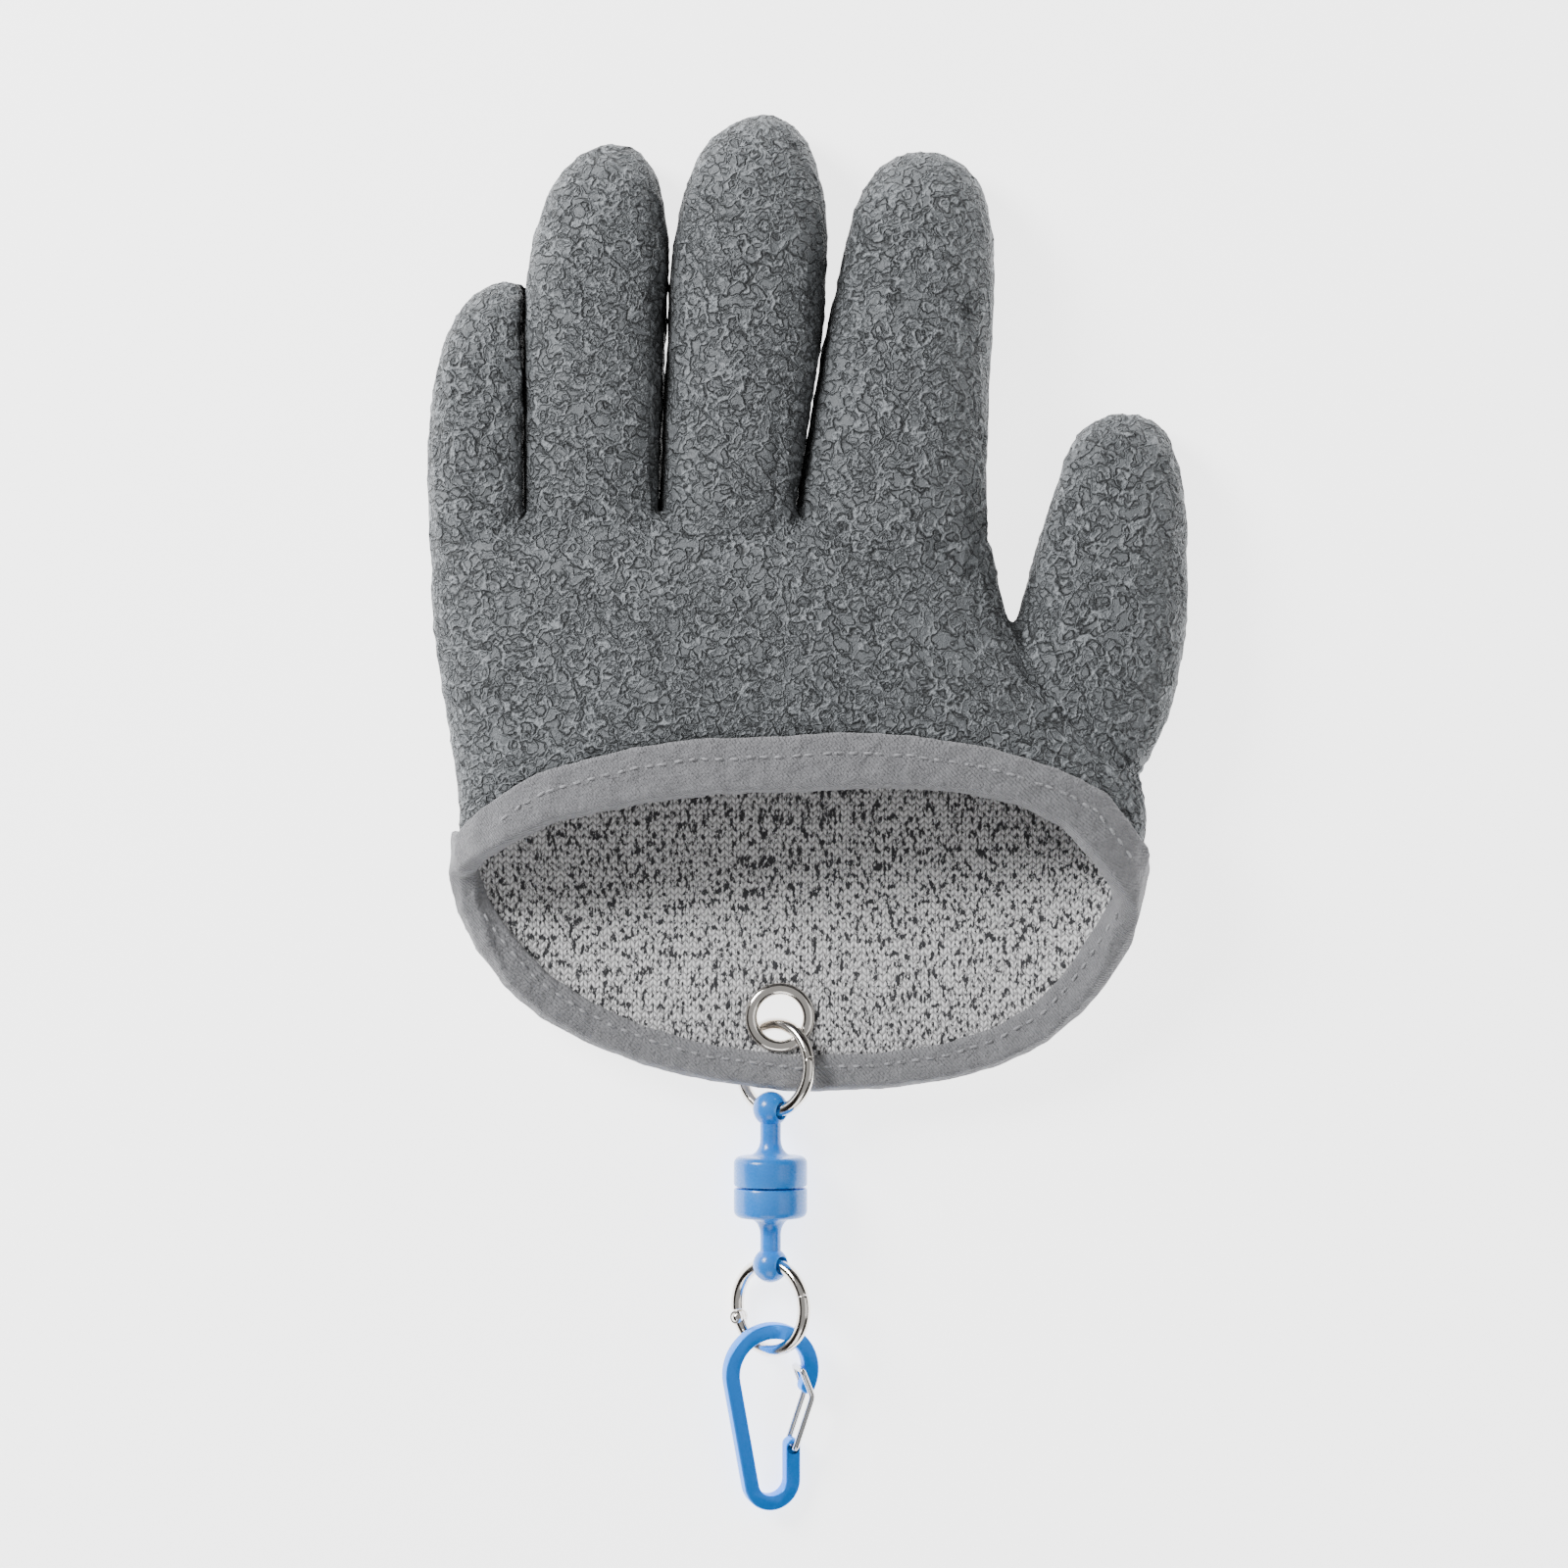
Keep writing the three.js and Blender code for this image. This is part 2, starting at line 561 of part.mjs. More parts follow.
// The clip's plate in its own frame: the middle of its wide end at the origin, its foot along -Y
const CLIP_HEAD = CLIP_WIDTH / 2;
const CLIP_FOOT = CLIP_FOOT_WIDTH / 2;
const CLIP_REACH = CLIP_LENGTH - CLIP_HEAD - CLIP_FOOT;
const NOSE_ANGLE = -25;
const ARM_SHARE = 0.31;
const HINGE_INSET = 1.9;
const ARM_TOP = -CLIP_REACH * (1 - ARM_SHARE);
const GATE_HINGE = v3(CLIP_FOOT - CLIP_BAR / 2, ARM_TOP - HINGE_INSET + CLIP_BAR / 2, 0);
function clipGeometry() {
  const lean = Math.PI + Math.asin((CLIP_HEAD - CLIP_FOOT) / CLIP_REACH);
  const nose = rad(NOSE_ANGLE);
  const inHead = CLIP_HEAD - CLIP_BAR;
  const inFoot = CLIP_FOOT - CLIP_BAR;
  const middle = CLIP_FOOT - CLIP_BAR / 2;
  const plate = new THREE.Shape();
  plate.absarc(0, 0, CLIP_HEAD, nose, lean, false);
  plate.absarc(0, -CLIP_REACH, CLIP_FOOT, lean, 2 * Math.PI, false);
  plate.absarc(middle, ARM_TOP, CLIP_BAR / 2, 0, Math.PI, false);
  plate.absarc(0, -CLIP_REACH, inFoot, 2 * Math.PI, lean, true);
  plate.absarc(0, 0, inHead, lean, nose, true);
  const bevel = 0.12 * CLIP_PLATE;
  const body = new THREE.ExtrudeGeometry(plate, {
    depth: CLIP_PLATE - 2 * bevel, steps: 1, curveSegments: CLIP_STEPS,
    bevelEnabled: true, bevelThickness: bevel, bevelSize: bevel, bevelOffset: -bevel, bevelSegments: 1,
  });
  body.translate(0, 0, bevel - CLIP_PLATE / 2);
  const radius = GATE_WIRE / 2 + GATE_GAP;
  const hole = new THREE.CylinderGeometry(radius, radius, 3 * CLIP_PLATE, LATHE_SIDES);
  hole.rotateX(Math.PI / 2).translate(GATE_HINGE.x, GATE_HINGE.y, 0);
  return geometryFrom(solidFrom(body).subtract(solidFrom(hole)));
}

// A bent wire: a round rod between each two points, with a ball at each bend
function bentWire(points, diameter) {
  const sides = 8;
  let wire = null;
  const join = (geometry) => {
    const solid = solidFrom(geometry);
    wire = wire ? wire.add(solid) : solid;
  };
  points.forEach((point, i) => {
    if (i === 0) return;
    const start = points[i - 1];
    const run = v3(0, 0, 0).subVectors(point, start);
    const rod = new THREE.CylinderGeometry(diameter / 2, diameter / 2, run.length(), sides);
    rod.applyQuaternion(new THREE.Quaternion().setFromUnitVectors(v3(0, 1, 0), run.clone().normalize()));
    rod.translate((start.x + point.x) / 2, (start.y + point.y) / 2, (start.z + point.z) / 2);
    join(rod);
    if (i + 1 < points.length) {
      join(new THREE.SphereGeometry(diameter / 2, sides, sides / 2).translate(point.x, point.y, point.z));
    }
  });
  return geometryFrom(wire);
}

// The gate: a wire loop astride the plate, from its hinge past a bend to the bar that shuts on the nose
function gateGeometry() {
  const leg = CLIP_PLATE / 2 + GATE_GAP + GATE_WIRE / 2;
  const root = CLIP_PLATE / 2 - GATE_WIRE;
  const bend = [0.82 * CLIP_HEAD, -0.54 * CLIP_HEAD];
  const shut = [CLIP_HEAD - CLIP_BAR - GATE_WIRE / 2 - GATE_GAP, 0.02 * CLIP_HEAD];
  const { x, y } = GATE_HINGE;
  const upper = [v3(x, y, root), v3(x, y, leg), v3(...bend, leg), v3(...shut, leg)];
  const lower = upper.map((point) => v3(point.x, point.y, -point.z)).reverse();
  return bentWire([...upper, ...lower], GATE_WIRE);
}

function piece(name, geometry, color, roughness, metalness) {
  const mesh = new THREE.Mesh(geometry, new THREE.MeshStandardMaterial({ color, roughness, metalness }));
  mesh.name = name;
  return mesh;
}

const LATEX_GREY = 0x7d7f82;
const KNIT_MELANGE = 0xb2b1b4;
const TAPE_GREY = 0x96979b;
const NICKEL = 0xc9c2b6;
const GLOSS_BLUE = 0x3f96d2;
const ANODISED_BLUE = 0x3f93d8;
const STEEL = 0xcfd0d2;

function glovePieces() {
  const hole = eyeletHole();
  const shell = handSolid(0, false).subtract(handSolid(LATEX_WALL, true)).subtract(hole);
  const liner = handSolid(LINER_OUTSIDE, false).subtract(handSolid(STACK, true)).subtract(hole);
  return [
    piece("latex_shell", geometryFrom(shell), LATEX_GREY, 0.85, 0),
    piece("knit_liner", geometryFrom(liner), KNIT_MELANGE, 0.95, 0),
    piece("cuff_binding", geometryFrom(bindingSolid()), TAPE_GREY, 0.9, 0),
    piece("eyelet", eyeletGeometry(), NICKEL, 0.2, 1),
  ];
}

// The chain: each link starts where the one before it ends
const WIRE_FROM_EYELET = 1.4;
const CHAIN_SHIFT = 2.0;
const CLIP_SLACK = 1.4;
const upperStart = v3(EYELET_AT.x, EYELET_AT.y - WIRE_FROM_EYELET, CHAIN_HEIGHT);
const upperRun = v3(-CHAIN_SHIFT, -Math.sqrt(LINK_DIAMETER ** 2 - CHAIN_SHIFT ** 2), 0);
const upperEnd = upperStart.clone().add(upperRun);
const upperBall = upperEnd.clone().addScaledVector(upperRun.clone().normalize(), -WIRE_SAG);
const partingY = upperBall.y - BALL_AT;
const lowerBall = v3(upperBall.x, partingY - MAGNET_SEAM - BALL_AT, CHAIN_HEIGHT);
const lowerStart = v3(lowerBall.x, lowerBall.y + WIRE_SAG, CHAIN_HEIGHT);
const lowerEnd = v3(lowerStart.x, lowerStart.y - LINK_DIAMETER, CHAIN_HEIGHT);

function chainPieces() {
  const upper = linkHalves(upperStart, upperEnd);
  const lower = linkHalves(lowerStart, lowerEnd);
  const magnetUp = magnetGeometry(upperBall, true, upper.frame.aside);
  const magnetDown = magnetGeometry(lowerBall, false, lower.frame.aside);
  return [
    piece("upper_ring_fixed_half", upper.fixed, NICKEL, 0.15, 1),
    piece("upper_ring_swing_half", upper.swinging, NICKEL, 0.15, 1),
    piece("magnet_upper_half", magnetUp, GLOSS_BLUE, 0.3, 0),
    piece("magnet_lower_half", magnetDown, GLOSS_BLUE, 0.3, 0),
    piece("lower_ring_fixed_half", lower.fixed, NICKEL, 0.15, 1),
    piece("lower_ring_swing_half", lower.swinging, NICKEL, 0.15, 1),
  ];
}

// The clip hangs on the lower ring's wire, rolled and pitched so that its edge rests on the surface
function clipGroup() {
  const group = new THREE.Group();
  group.rotation.set(rad(CLIP_PITCH), rad(CLIP_ROLL), 0, "XYZ");
  const wireSeat = CLIP_HEAD - CLIP_BAR - CLIP_SLACK - LINK_WIRE / 2;
  group.position.copy(lowerEnd).sub(v3(0, wireSeat, 0).applyEuler(group.rotation));
  group.add(piece("clip_body", clipGeometry(), ANODISED_BLUE, 0.35, 0.6));
  group.add(piece("clip_gate", gateGeometry(), STEEL, 0.2, 1));
  return group;
}

// The origin is under the middle of the whole: its box is centred on it and stands on Z = 0
const glove = new THREE.Group();
glove.add(...glovePieces(), ...chainPieces(), clipGroup());
const extent = new THREE.Box3().setFromObject(glove, true);
const centre = extent.getCenter(v3(0, 0, 0));
glove.position.set(-centre.x, -centre.y, -extent.min.z);

export default glove;
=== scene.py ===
# A fishing glove with a clip on a magnetic release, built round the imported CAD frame
import math

import bmesh
import bpy
import numpy as np
from bpy.props import FloatProperty, FloatVectorProperty, IntProperty, PointerProperty
from mathutils import Matrix, Vector, noise
from mathutils.bvhtree import BVHTree


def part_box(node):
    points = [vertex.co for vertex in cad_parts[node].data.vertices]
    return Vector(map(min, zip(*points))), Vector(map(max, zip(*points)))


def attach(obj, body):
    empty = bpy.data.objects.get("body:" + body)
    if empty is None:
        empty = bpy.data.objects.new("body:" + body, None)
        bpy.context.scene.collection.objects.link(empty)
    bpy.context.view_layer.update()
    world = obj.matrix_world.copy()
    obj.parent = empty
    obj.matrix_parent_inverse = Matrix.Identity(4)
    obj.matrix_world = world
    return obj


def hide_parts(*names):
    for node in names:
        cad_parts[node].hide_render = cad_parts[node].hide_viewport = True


bl_info = {
    "name": "Fishing Glove",
    "version": (1, 0, 0),
    "blender": (4, 5, 0),
    "location": "View3D > Sidebar > Glove",
    "description": "Builds a coated fishing glove with its chain and clip",
    "category": "Object",
}

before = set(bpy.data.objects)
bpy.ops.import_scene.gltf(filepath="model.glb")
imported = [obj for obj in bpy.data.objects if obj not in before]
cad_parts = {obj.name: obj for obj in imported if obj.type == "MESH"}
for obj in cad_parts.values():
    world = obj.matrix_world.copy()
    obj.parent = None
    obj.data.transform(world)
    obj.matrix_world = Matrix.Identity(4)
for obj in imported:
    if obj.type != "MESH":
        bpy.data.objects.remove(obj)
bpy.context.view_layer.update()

MM = 0.001

# The chain's sizes in millimetres, as in the CAD
LINK_DIAMETER = 18.0
CAD_WIRE = 2.4
LINK_TILT = 40.0
HINGE_AT = 252.0
CLASP_AT = 72.0
KNUCKLE_DIAMETER = 3.0
KNUCKLE_LENGTH = 2.6
CHAIN_SHIFT = 2.0
MAGNET_DIAMETER = 15.2
MAGNET_HEIGHT = 6.2
NECK_DIAMETER = 4.3
NECK_HEIGHT = 6.8
BALL_DIAMETER = 7.3
BALL_BORE = 3.8
WIRE_SAG = (BALL_DIAMETER / 2) ** 2 / (2 * LINK_DIAMETER)
CLIP_LENGTH = 39.5
CLIP_WIDTH = 20.4
CLIP_FOOT_WIDTH = 12.2
CLIP_BAR = 3.1
CLIP_PLATE = 3.0
CLIP_ROLL = 20.0
CLIP_PITCH = 7.6
CLIP_SLACK = 1.4
GATE_GAP = 0.3

# The hairline that shows between a ring's two halves, finer than the CAD's
LINK_SEAM = 0.1

# The hinge pin's radius, and how far its domed heads stand out
PIN_RADIUS = 0.85
PIN_HEAD = 0.45

# The magnet's rounded edge, and the curve of its neck and how far that is stretched upwards
MAGNET_EDGE = 1.5
NECK_FLARE = 2.6
FLARE_STRETCH = 1.3

# The clip's hinge arm and nose: a share of its reach, a drop in millimetres, an angle in degrees
ARM_SHARE = 0.69
HINGE_DROP = 1.9
NOSE_ANGLE = -25

# Where the gate bends and where it ends, in shares of the clip's wide end
GATE_BEND = (0.82, -0.54)
GATE_END = 0.02
GATE_BEND_RADIUS = 0.9

# How wide each edge is bevelled
WIRE_BEVEL = 0.25
MAGNET_BEVEL = 0.22
CLIP_BEVEL = 0.55
GATE_BEVEL = 0.12

# The eyelet's bore, how far its hole in the coating stands from its middle, and its flange's roll
EYELET_BORE = 9.4
COATING_HOLE = 5.6
ROLL_RISE = 0.95
ROLL_DROP = 0.75

# The coating's inner faces lie closer to the lining than this
COATING_APART = 0.9

# How high the coating's long folds, small folds and slow swells stand, and how far all of it sinks
FOLD_HEIGHT = 0.30
SMALL_FOLD = 0.16
SWELL_HEIGHT = 0.45
FOLD_SINK = 0.22

# How far the tape is swollen, before and after it is made one skin, and how deep it puckers
TAPE_SWELL = 0.16
TAPE_PLUMP = 0.10
TAPE_PUCKER = 0.26
PUCKER_SCALE = 0.30

# Sewing: each stitch, and how far the two rows lie from the tape's edges
STITCH_LENGTH = 2.1
STITCH_RADIUS = 0.30
RIM_INSET = 3.9
LIP_INSET = 2.2

# Where rays look for the tape's edges, and how far apart
LOOK_FROM = (-66.0, 40.0)
LOOK_TO = (70.0, -62.0)
LOOK_STEP = (1.0, -0.4)
ABOVE_ALL = 100

# The seed of the coating's folds, which would otherwise differ in each run
FOLD_SEED = 7

# How brightly the white surface shines of itself, as in a studio table lit from below
SURFACE_GLOW = 3.0
SURFACE_SIZE = 14

# The sky that the metal reflects: white, with a dark band between two heights
SKY_STRENGTH = 0.42
SKY_DARK = (0.035, 0.025, 0.02, 1)
SKY_WHITE = (1, 1, 1, 1)
SKY_WHITE_ENDS = (0.18, 0.78)
SKY_DARK_ENDS = (0.27, 0.62)

# The camera straight above, in metres, with its lens in millimetres
CAMERA_PLACE = (-0.0051, 0.0059, 0.907)
LENS_LENGTH = 100
SENSOR_WIDTH = 36

# Angles in radians
HALF_TURN = math.pi
FULL_TURN = 2 * math.pi


class GloveSettings(bpy.types.PropertyGroup):
    """Sizes and colours of the glove"""

    latex_colour: FloatVectorProperty(
        name="Latex", description="Colour of the crinkled coating", subtype="COLOR",
        size=3, default=(0.165, 0.176, 0.186), min=0, max=1,
    )
    knit_colour: FloatVectorProperty(
        name="Knit", description="Colour of the lining's pale yarn", subtype="COLOR",
        size=3, default=(1.0, 0.99, 1.0), min=0, max=1,
    )
    fleck_colour: FloatVectorProperty(
        name="Fleck", description="Colour of the lining's dark fibres", subtype="COLOR",
        size=3, default=(0.045, 0.045, 0.05), min=0, max=1,
    )
    binding_colour: FloatVectorProperty(
        name="Binding", description="Colour of the tape round the cuff", subtype="COLOR",
        size=3, default=(0.30, 0.30, 0.315), min=0, max=1,
    )
    nickel_colour: FloatVectorProperty(
        name="Nickel", description="Colour of the eyelet and the rings", subtype="COLOR",
        size=3, default=(0.80, 0.76, 0.71), min=0, max=1,
    )
    magnet_colour: FloatVectorProperty(
        name="Magnet", description="Colour of the magnetic release", subtype="COLOR",
        size=3, default=(0.008, 0.22, 0.76), min=0, max=1,
    )
    clip_colour: FloatVectorProperty(
        name="Clip", description="Colour of the anodised clip", subtype="COLOR",
        size=3, default=(0.008, 0.25, 0.95), min=0, max=1,
    )
    steel_colour: FloatVectorProperty(
        name="Steel", description="Colour of the clip's gate", subtype="COLOR",
        size=3, default=(0.70, 0.70, 0.71), min=0, max=1,
    )
    skin_levels: IntProperty(
        name="Skin detail", description="How many times the coating's mesh is subdivided",
        default=3, min=1, max=3,
    )
    tape_voxel: FloatProperty(
        name="Tape detail", description="Size of the binding's mesh cells",
        unit="LENGTH", default=0.0005, min=0.0004, max=0.004, precision=5,
    )
    stitch_pitch: FloatProperty(
        name="Stitch pitch", description="Distance between the binding's stitches",
        unit="LENGTH", default=0.003, min=0.001, max=0.01, precision=5,
    )
    wire_diameter: FloatProperty(
        name="Ring wire", description="Thickness of the rings' wire",
        unit="LENGTH", default=0.0026, min=0.001, max=0.004, precision=5,
    )
    gate_diameter: FloatProperty(
        name="Gate wire", description="Thickness of the gate's wire",
        unit="LENGTH", default=0.0013, min=0.0005, max=0.003, precision=5,
    )
    turn_steps: IntProperty(
        name="Turn steps", description="Sides of each turned piece",
        default=72, min=16, max=256,
    )


def settings():
    return bpy.context.scene.glove


def select_only(obj):
    bpy.ops.object.select_all(action="DESELECT")
    obj.select_set(True)
    bpy.context.view_layer.objects.active = obj


def new_object(name, vertices, edges, faces):
    """An object at the origin from points in metres."""
    mesh = bpy.data.meshes.new(name)
    mesh.from_pydata([tuple(v) for v in vertices], edges, faces)
    obj = bpy.data.objects.new(name, mesh)
    bpy.context.scene.collection.objects.link(obj)
    select_only(obj)
    return obj


def merged_copy(node, name):
    """A copy of a CAD node as one welded mesh."""
    obj = bpy.data.objects.new(name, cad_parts[node].data.copy())
    bpy.context.scene.collection.objects.link(obj)
    obj.data.materials.clear()
    select_only(obj)
    bpy.ops.object.mode_set(mode="EDIT")
    bpy.ops.mesh.select_all(action="SELECT")
    bpy.ops.mesh.remove_doubles(threshold=1e-6)
    bpy.ops.object.mode_set(mode="OBJECT")
    return obj


def apply_modifier(obj, kind, **values):
    """Adds a modifier with these values and applies it."""
    select_only(obj)
    modifier = obj.modifiers.new(kind.title(), kind)
    for key, value in values.items():
        setattr(modifier, key, value)
    bpy.ops.object.modifier_apply(modifier=modifier.name)


def remesh(obj, voxel):
    apply_modifier(obj, "REMESH", mode="VOXEL", voxel_size=voxel, use_smooth_shade=True)


def face_outwards(obj):
    select_only(obj)
    bpy.ops.object.mode_set(mode="EDIT")
    bpy.ops.mesh.select_all(action="SELECT")
    bpy.ops.mesh.normals_make_consistent(inside=False)
    bpy.ops.object.mode_set(mode="OBJECT")


def smooth_shading(obj, angle=35.0):
    select_only(obj)
    bpy.ops.object.shade_smooth_by_angle(angle=math.radians(angle))


def finish_piece(obj, body, slot, material, *nodes):
    """Gives a finished piece its material and CAD body, and hides the CAD nodes that it stands for;
    slot is not used.
    """
    if not obj.data.vertices:
        raise RuntimeError(obj.name + " came out empty")
    obj.data.materials.clear()
    obj.data.materials.append(material)
    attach(obj, body)
    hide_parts(*nodes)
    return obj


def spun(name, profile, axis_from, axis):
    """A turned piece: profile rows are (radius, height) in millimetres, spun round the axis."""
    axis = Vector(axis).normalized()
    side = axis.orthogonal().normalized()
    points = [Vector(axis_from) + (side * r + axis * h) * MM for r, h in profile]
    edges = [(i, i + 1) for i in range(len(points) - 1)]
    obj = new_object(name, points, edges, [])
    bpy.ops.object.mode_set(mode="EDIT")
    bpy.ops.mesh.select_all(action="SELECT")
    bpy.ops.mesh.spin(
        steps=settings().turn_steps, angle=FULL_TURN, center=tuple(axis_from), axis=tuple(axis),
    )
    bpy.ops.mesh.select_all(action="SELECT")
    bpy.ops.mesh.remove_doubles(threshold=2e-6)
    bpy.ops.mesh.normals_make_consistent(inside=False)
    bpy.ops.object.mode_set(mode="OBJECT")
    smooth_shading(obj)
    return obj


def rounded_path(points, radius, steps=8):
    """The points with each inner corner turned into a smooth bend. All in millimetres."""
    path = [Vector(points[0])]
    for before, corner, after in zip(points, points[1:], points[2:]):
        corner = Vector(corner)
        into = Vector(before) - corner
        out = Vector(after) - corner
        reach = min(radius, into.length * 0.48, out.length * 0.48)
        start = corner + into.normalized() * reach
        end = corner + out.normalized() * reach
        for i in range(steps + 1):
            t = i / steps
            path.append(start * (1 - t) ** 2 + corner * 2 * t * (1 - t) + end * t * t)
    path.append(Vector(points[-1]))
    return path


def tube(name, points, diameter, sides=24):
    """A round wire with closed ends along points in metres, as a mesh."""
    curve = bpy.data.curves.new(name, "CURVE")
    curve.dimensions = "3D"
    curve.bevel_depth = diameter / 2
    curve.bevel_resolution = sides // 4 - 1
    curve.use_fill_caps = True
    spline = curve.splines.new("POLY")
    spline.points.add(len(points) - 1)
    for place, point in zip(spline.points, points):
        place.co = (*point, 1)
    obj = bpy.data.objects.new(name, curve)
    bpy.context.scene.collection.objects.link(obj)
    select_only(obj)
    bpy.ops.object.convert(target="MESH")
    obj = bpy.context.view_layer.objects.active
    obj.name = name
    bpy.ops.object.mode_set(mode="EDIT")
    bpy.ops.mesh.select_all(action="SELECT")
    bpy.ops.mesh.remove_doubles(threshold=1e-6)
    bpy.ops.mesh.normals_make_consistent(inside=False)
    bpy.ops.object.mode_set(mode="OBJECT")
    return obj


def joined(first, *others):
    """The objects joined into the first."""
    bpy.ops.object.select_all(action="DESELECT")
    for obj in (first, *others):
        obj.select_set(True)
    bpy.context.view_layer.objects.active = first
    bpy.ops.object.join()
    return first


def cut_away(obj, cutter):
    """Takes the cutter's volume out of obj, then the cutter is removed."""
    apply_modifier(obj, "BOOLEAN", operation="DIFFERENCE", object=cutter, solver="EXACT")
    bpy.data.objects.remove(cutter)
    return obj


class Nodes:
    """A material's node tree, with its parts added by short calls."""

    def __init__(self, name):
        self.material = bpy.data.materials.new(name)
        self.material.use_nodes = True
        self.tree = self.material.node_tree
        self.tree.nodes.clear()

    def add(self, kind, inputs=None, **values):
        made = self.tree.nodes.new("ShaderNode" + kind)
        for key, value in values.items():
            setattr(made, key, value)
        for key, value in (inputs or {}).items():
            if isinstance(value, bpy.types.NodeSocket):
                self.tree.links.new(value, made.inputs[key])
            else:
                made.inputs[key].default_value = value
        return made

    def maths(self, operation, first, second=0.0, clamp=False):
        inputs = {0: first} if second is None else {0: first, 1: second}
        return self.add("Math", inputs, operation=operation, use_clamp=clamp).outputs[0]

    def millimetres(self):
        place = self.add("TexCoord").outputs["Object"]
        scale = self.add("VectorMath", {0: place, "Scale": 1000.0}, operation="SCALE")
        return scale.outputs[0]

    def noise(self, vector, scale, detail=3.0, roughness=0.55, output="Fac"):
        made = self.add(
            "TexNoise",
            {"Vector": vector, "Scale": scale, "Detail": detail, "Roughness": roughness},
        )
        return made.outputs[output]

    def warped(self, vector, scale, amount):
        """The vector pushed about by a noise of this scale."""
        colour = self.noise(vector, scale, 2.0, 0.5, "Color")
        centred = self.add("VectorMath", {0: colour, 1: (0.5, 0.5, 0.5)}, operation="SUBTRACT")
        push = self.add("VectorMath", {0: centred.outputs[0], "Scale": amount}, operation="SCALE")
        return self.add("VectorMath", {0: vector, 1: push.outputs[0]}, operation="ADD").outputs[0]

    def ridge(self, fac, sharpness):
        """A crest where a noise crosses its middle value, 1 on the crest and 0 away from it."""
        off = self.maths("ABSOLUTE", self.maths("SUBTRACT", fac, 0.5), None)
        return self.maths("SUBTRACT", 1.0, self.maths("MULTIPLY", off, sharpness), clamp=True)

    def mix(self, share, first, second):
        made = self.add("Mix", {0: share}, data_type="RGBA")
        for key, value in ((6, first), (7, second)):
            if isinstance(value, bpy.types.NodeSocket):
                self.tree.links.new(value, made.inputs[key])
            else:
                made.inputs[key].default_value = (*value[:3], 1)
        return made.outputs[2]

    def finish(self, bump=None, **inputs):
        """The surface shader. bump is (height, distance in metres, strength)."""
        shader = self.add("BsdfPrincipled")
        for key, value in inputs.items():
            socket = shader.inputs[key.replace("_", " ")]
            if isinstance(value, bpy.types.NodeSocket):
                self.tree.links.new(value, socket)
            else:
                socket.default_value = value
        if bump:
            height, distance, strength = bump
            made = self.add("Bump", {"Height": height, "Distance": distance, "Strength": strength})
            self.tree.links.new(made.outputs[0], shader.inputs["Normal"])
        self.add("OutputMaterial", {"Surface": shader.outputs[0]})
        return self.material


def latex_material():
    """Crinkled coating: thin worm-like crests, each with a crease beside it; the crests are paler as a
    painted highlight, the creases and the valleys between the fingers darker as painted shade.
    """
    n = Nodes("crinkled_latex")
    place = n.millimetres()

    def worms(scale, warp_scale, warp, sharpness, shift):
        moved = n.add("VectorMath", {0: place, 1: (shift, shift, shift)}, operation="ADD").outputs[0]
        field = n.noise(n.warped(moved, warp_scale, warp), scale, 0.6, 0.4)
        crest = n.ridge(n.maths("SUBTRACT", field, 0.030), sharpness)
        crease = n.ridge(n.maths("ADD", field, 0.028), sharpness)
        return crest, crease

    coarse_crest, coarse_crease = worms(0.30, 0.5, 2.0, 19.0, 0.0)
    middle_crest, middle_crease = worms(0.44, 0.7, 1.4, 15.0, 31.0)
    fine_crest, fine_crease = worms(0.74, 1.1, 0.8, 13.0, 57.0)
    busy = n.add(
        "MapRange", {"Value": n.noise(place, 0.09, 2.0, 0.5), 1: 0.40, 2: 0.60, 3: 0.1, 4: 0.7}
    ).outputs[0]
    crest = n.maths("MAXIMUM", coarse_crest, n.maths("MULTIPLY", middle_crest, 0.85))
    crest = n.maths("MAXIMUM", crest, n.maths("MULTIPLY", fine_crest, busy))
    crease = n.maths("MAXIMUM", coarse_crease, n.maths("MULTIPLY", middle_crease, 0.85))
    crease = n.maths("MAXIMUM", crease, n.maths("MULTIPLY", fine_crease, busy))
    crease = n.maths("SUBTRACT", crease, n.maths("MULTIPLY", crest, 0.6), clamp=True)
    grain = n.noise(place, 3.2, 3.0, 0.6)
    height = n.maths("SUBTRACT", crest, n.maths("MULTIPLY", crease, 0.9))
    height = n.maths("ADD", height, n.maths("MULTIPLY", grain, 0.2))
    base = settings().latex_colour
    patches = n.noise(place, 0.035, 3.0, 0.6)
    tone = n.mix(patches, [c * 0.88 for c in base], [c * 1.12 for c in base])
    # Painted highlight: the crests' colour is lightened.
    tone = n.mix(n.maths("MULTIPLY", crest, 0.85, clamp=True), tone, [c * 2.2 for c in base])
    # Painted shade: the creases' colour is darkened.
    tone = n.mix(n.maths("MULTIPLY", crease, 0.90, clamp=True), tone, [c * 0.12 for c in base])
    # Painted shade: the colour darkens where ambient occlusion finds surfaces close by, as in the
    # valleys between the fingers.
    painted_shade_occlusion = n.add("AmbientOcclusion", {"Distance": 0.014}, samples=8).outputs["AO"]
    unshaded_share = n.add("MapRange", {"Value": painted_shade_occlusion, 1: 0.25, 2: 0.85, 3: 0.0, 4: 1.0}).outputs[0]
    tone = n.mix(unshaded_share, [c * 0.10 for c in base], tone)
    rough = n.add("MapRange", {"Value": grain, 1: 0.3, 2: 0.7, 3: 0.50, 4: 0.70}).outputs[0]
    return n.finish(
        (height, 0.0006, 1.0), Base_Color=tone, Roughness=rough, Specular_IOR_Level=0.4,
    )


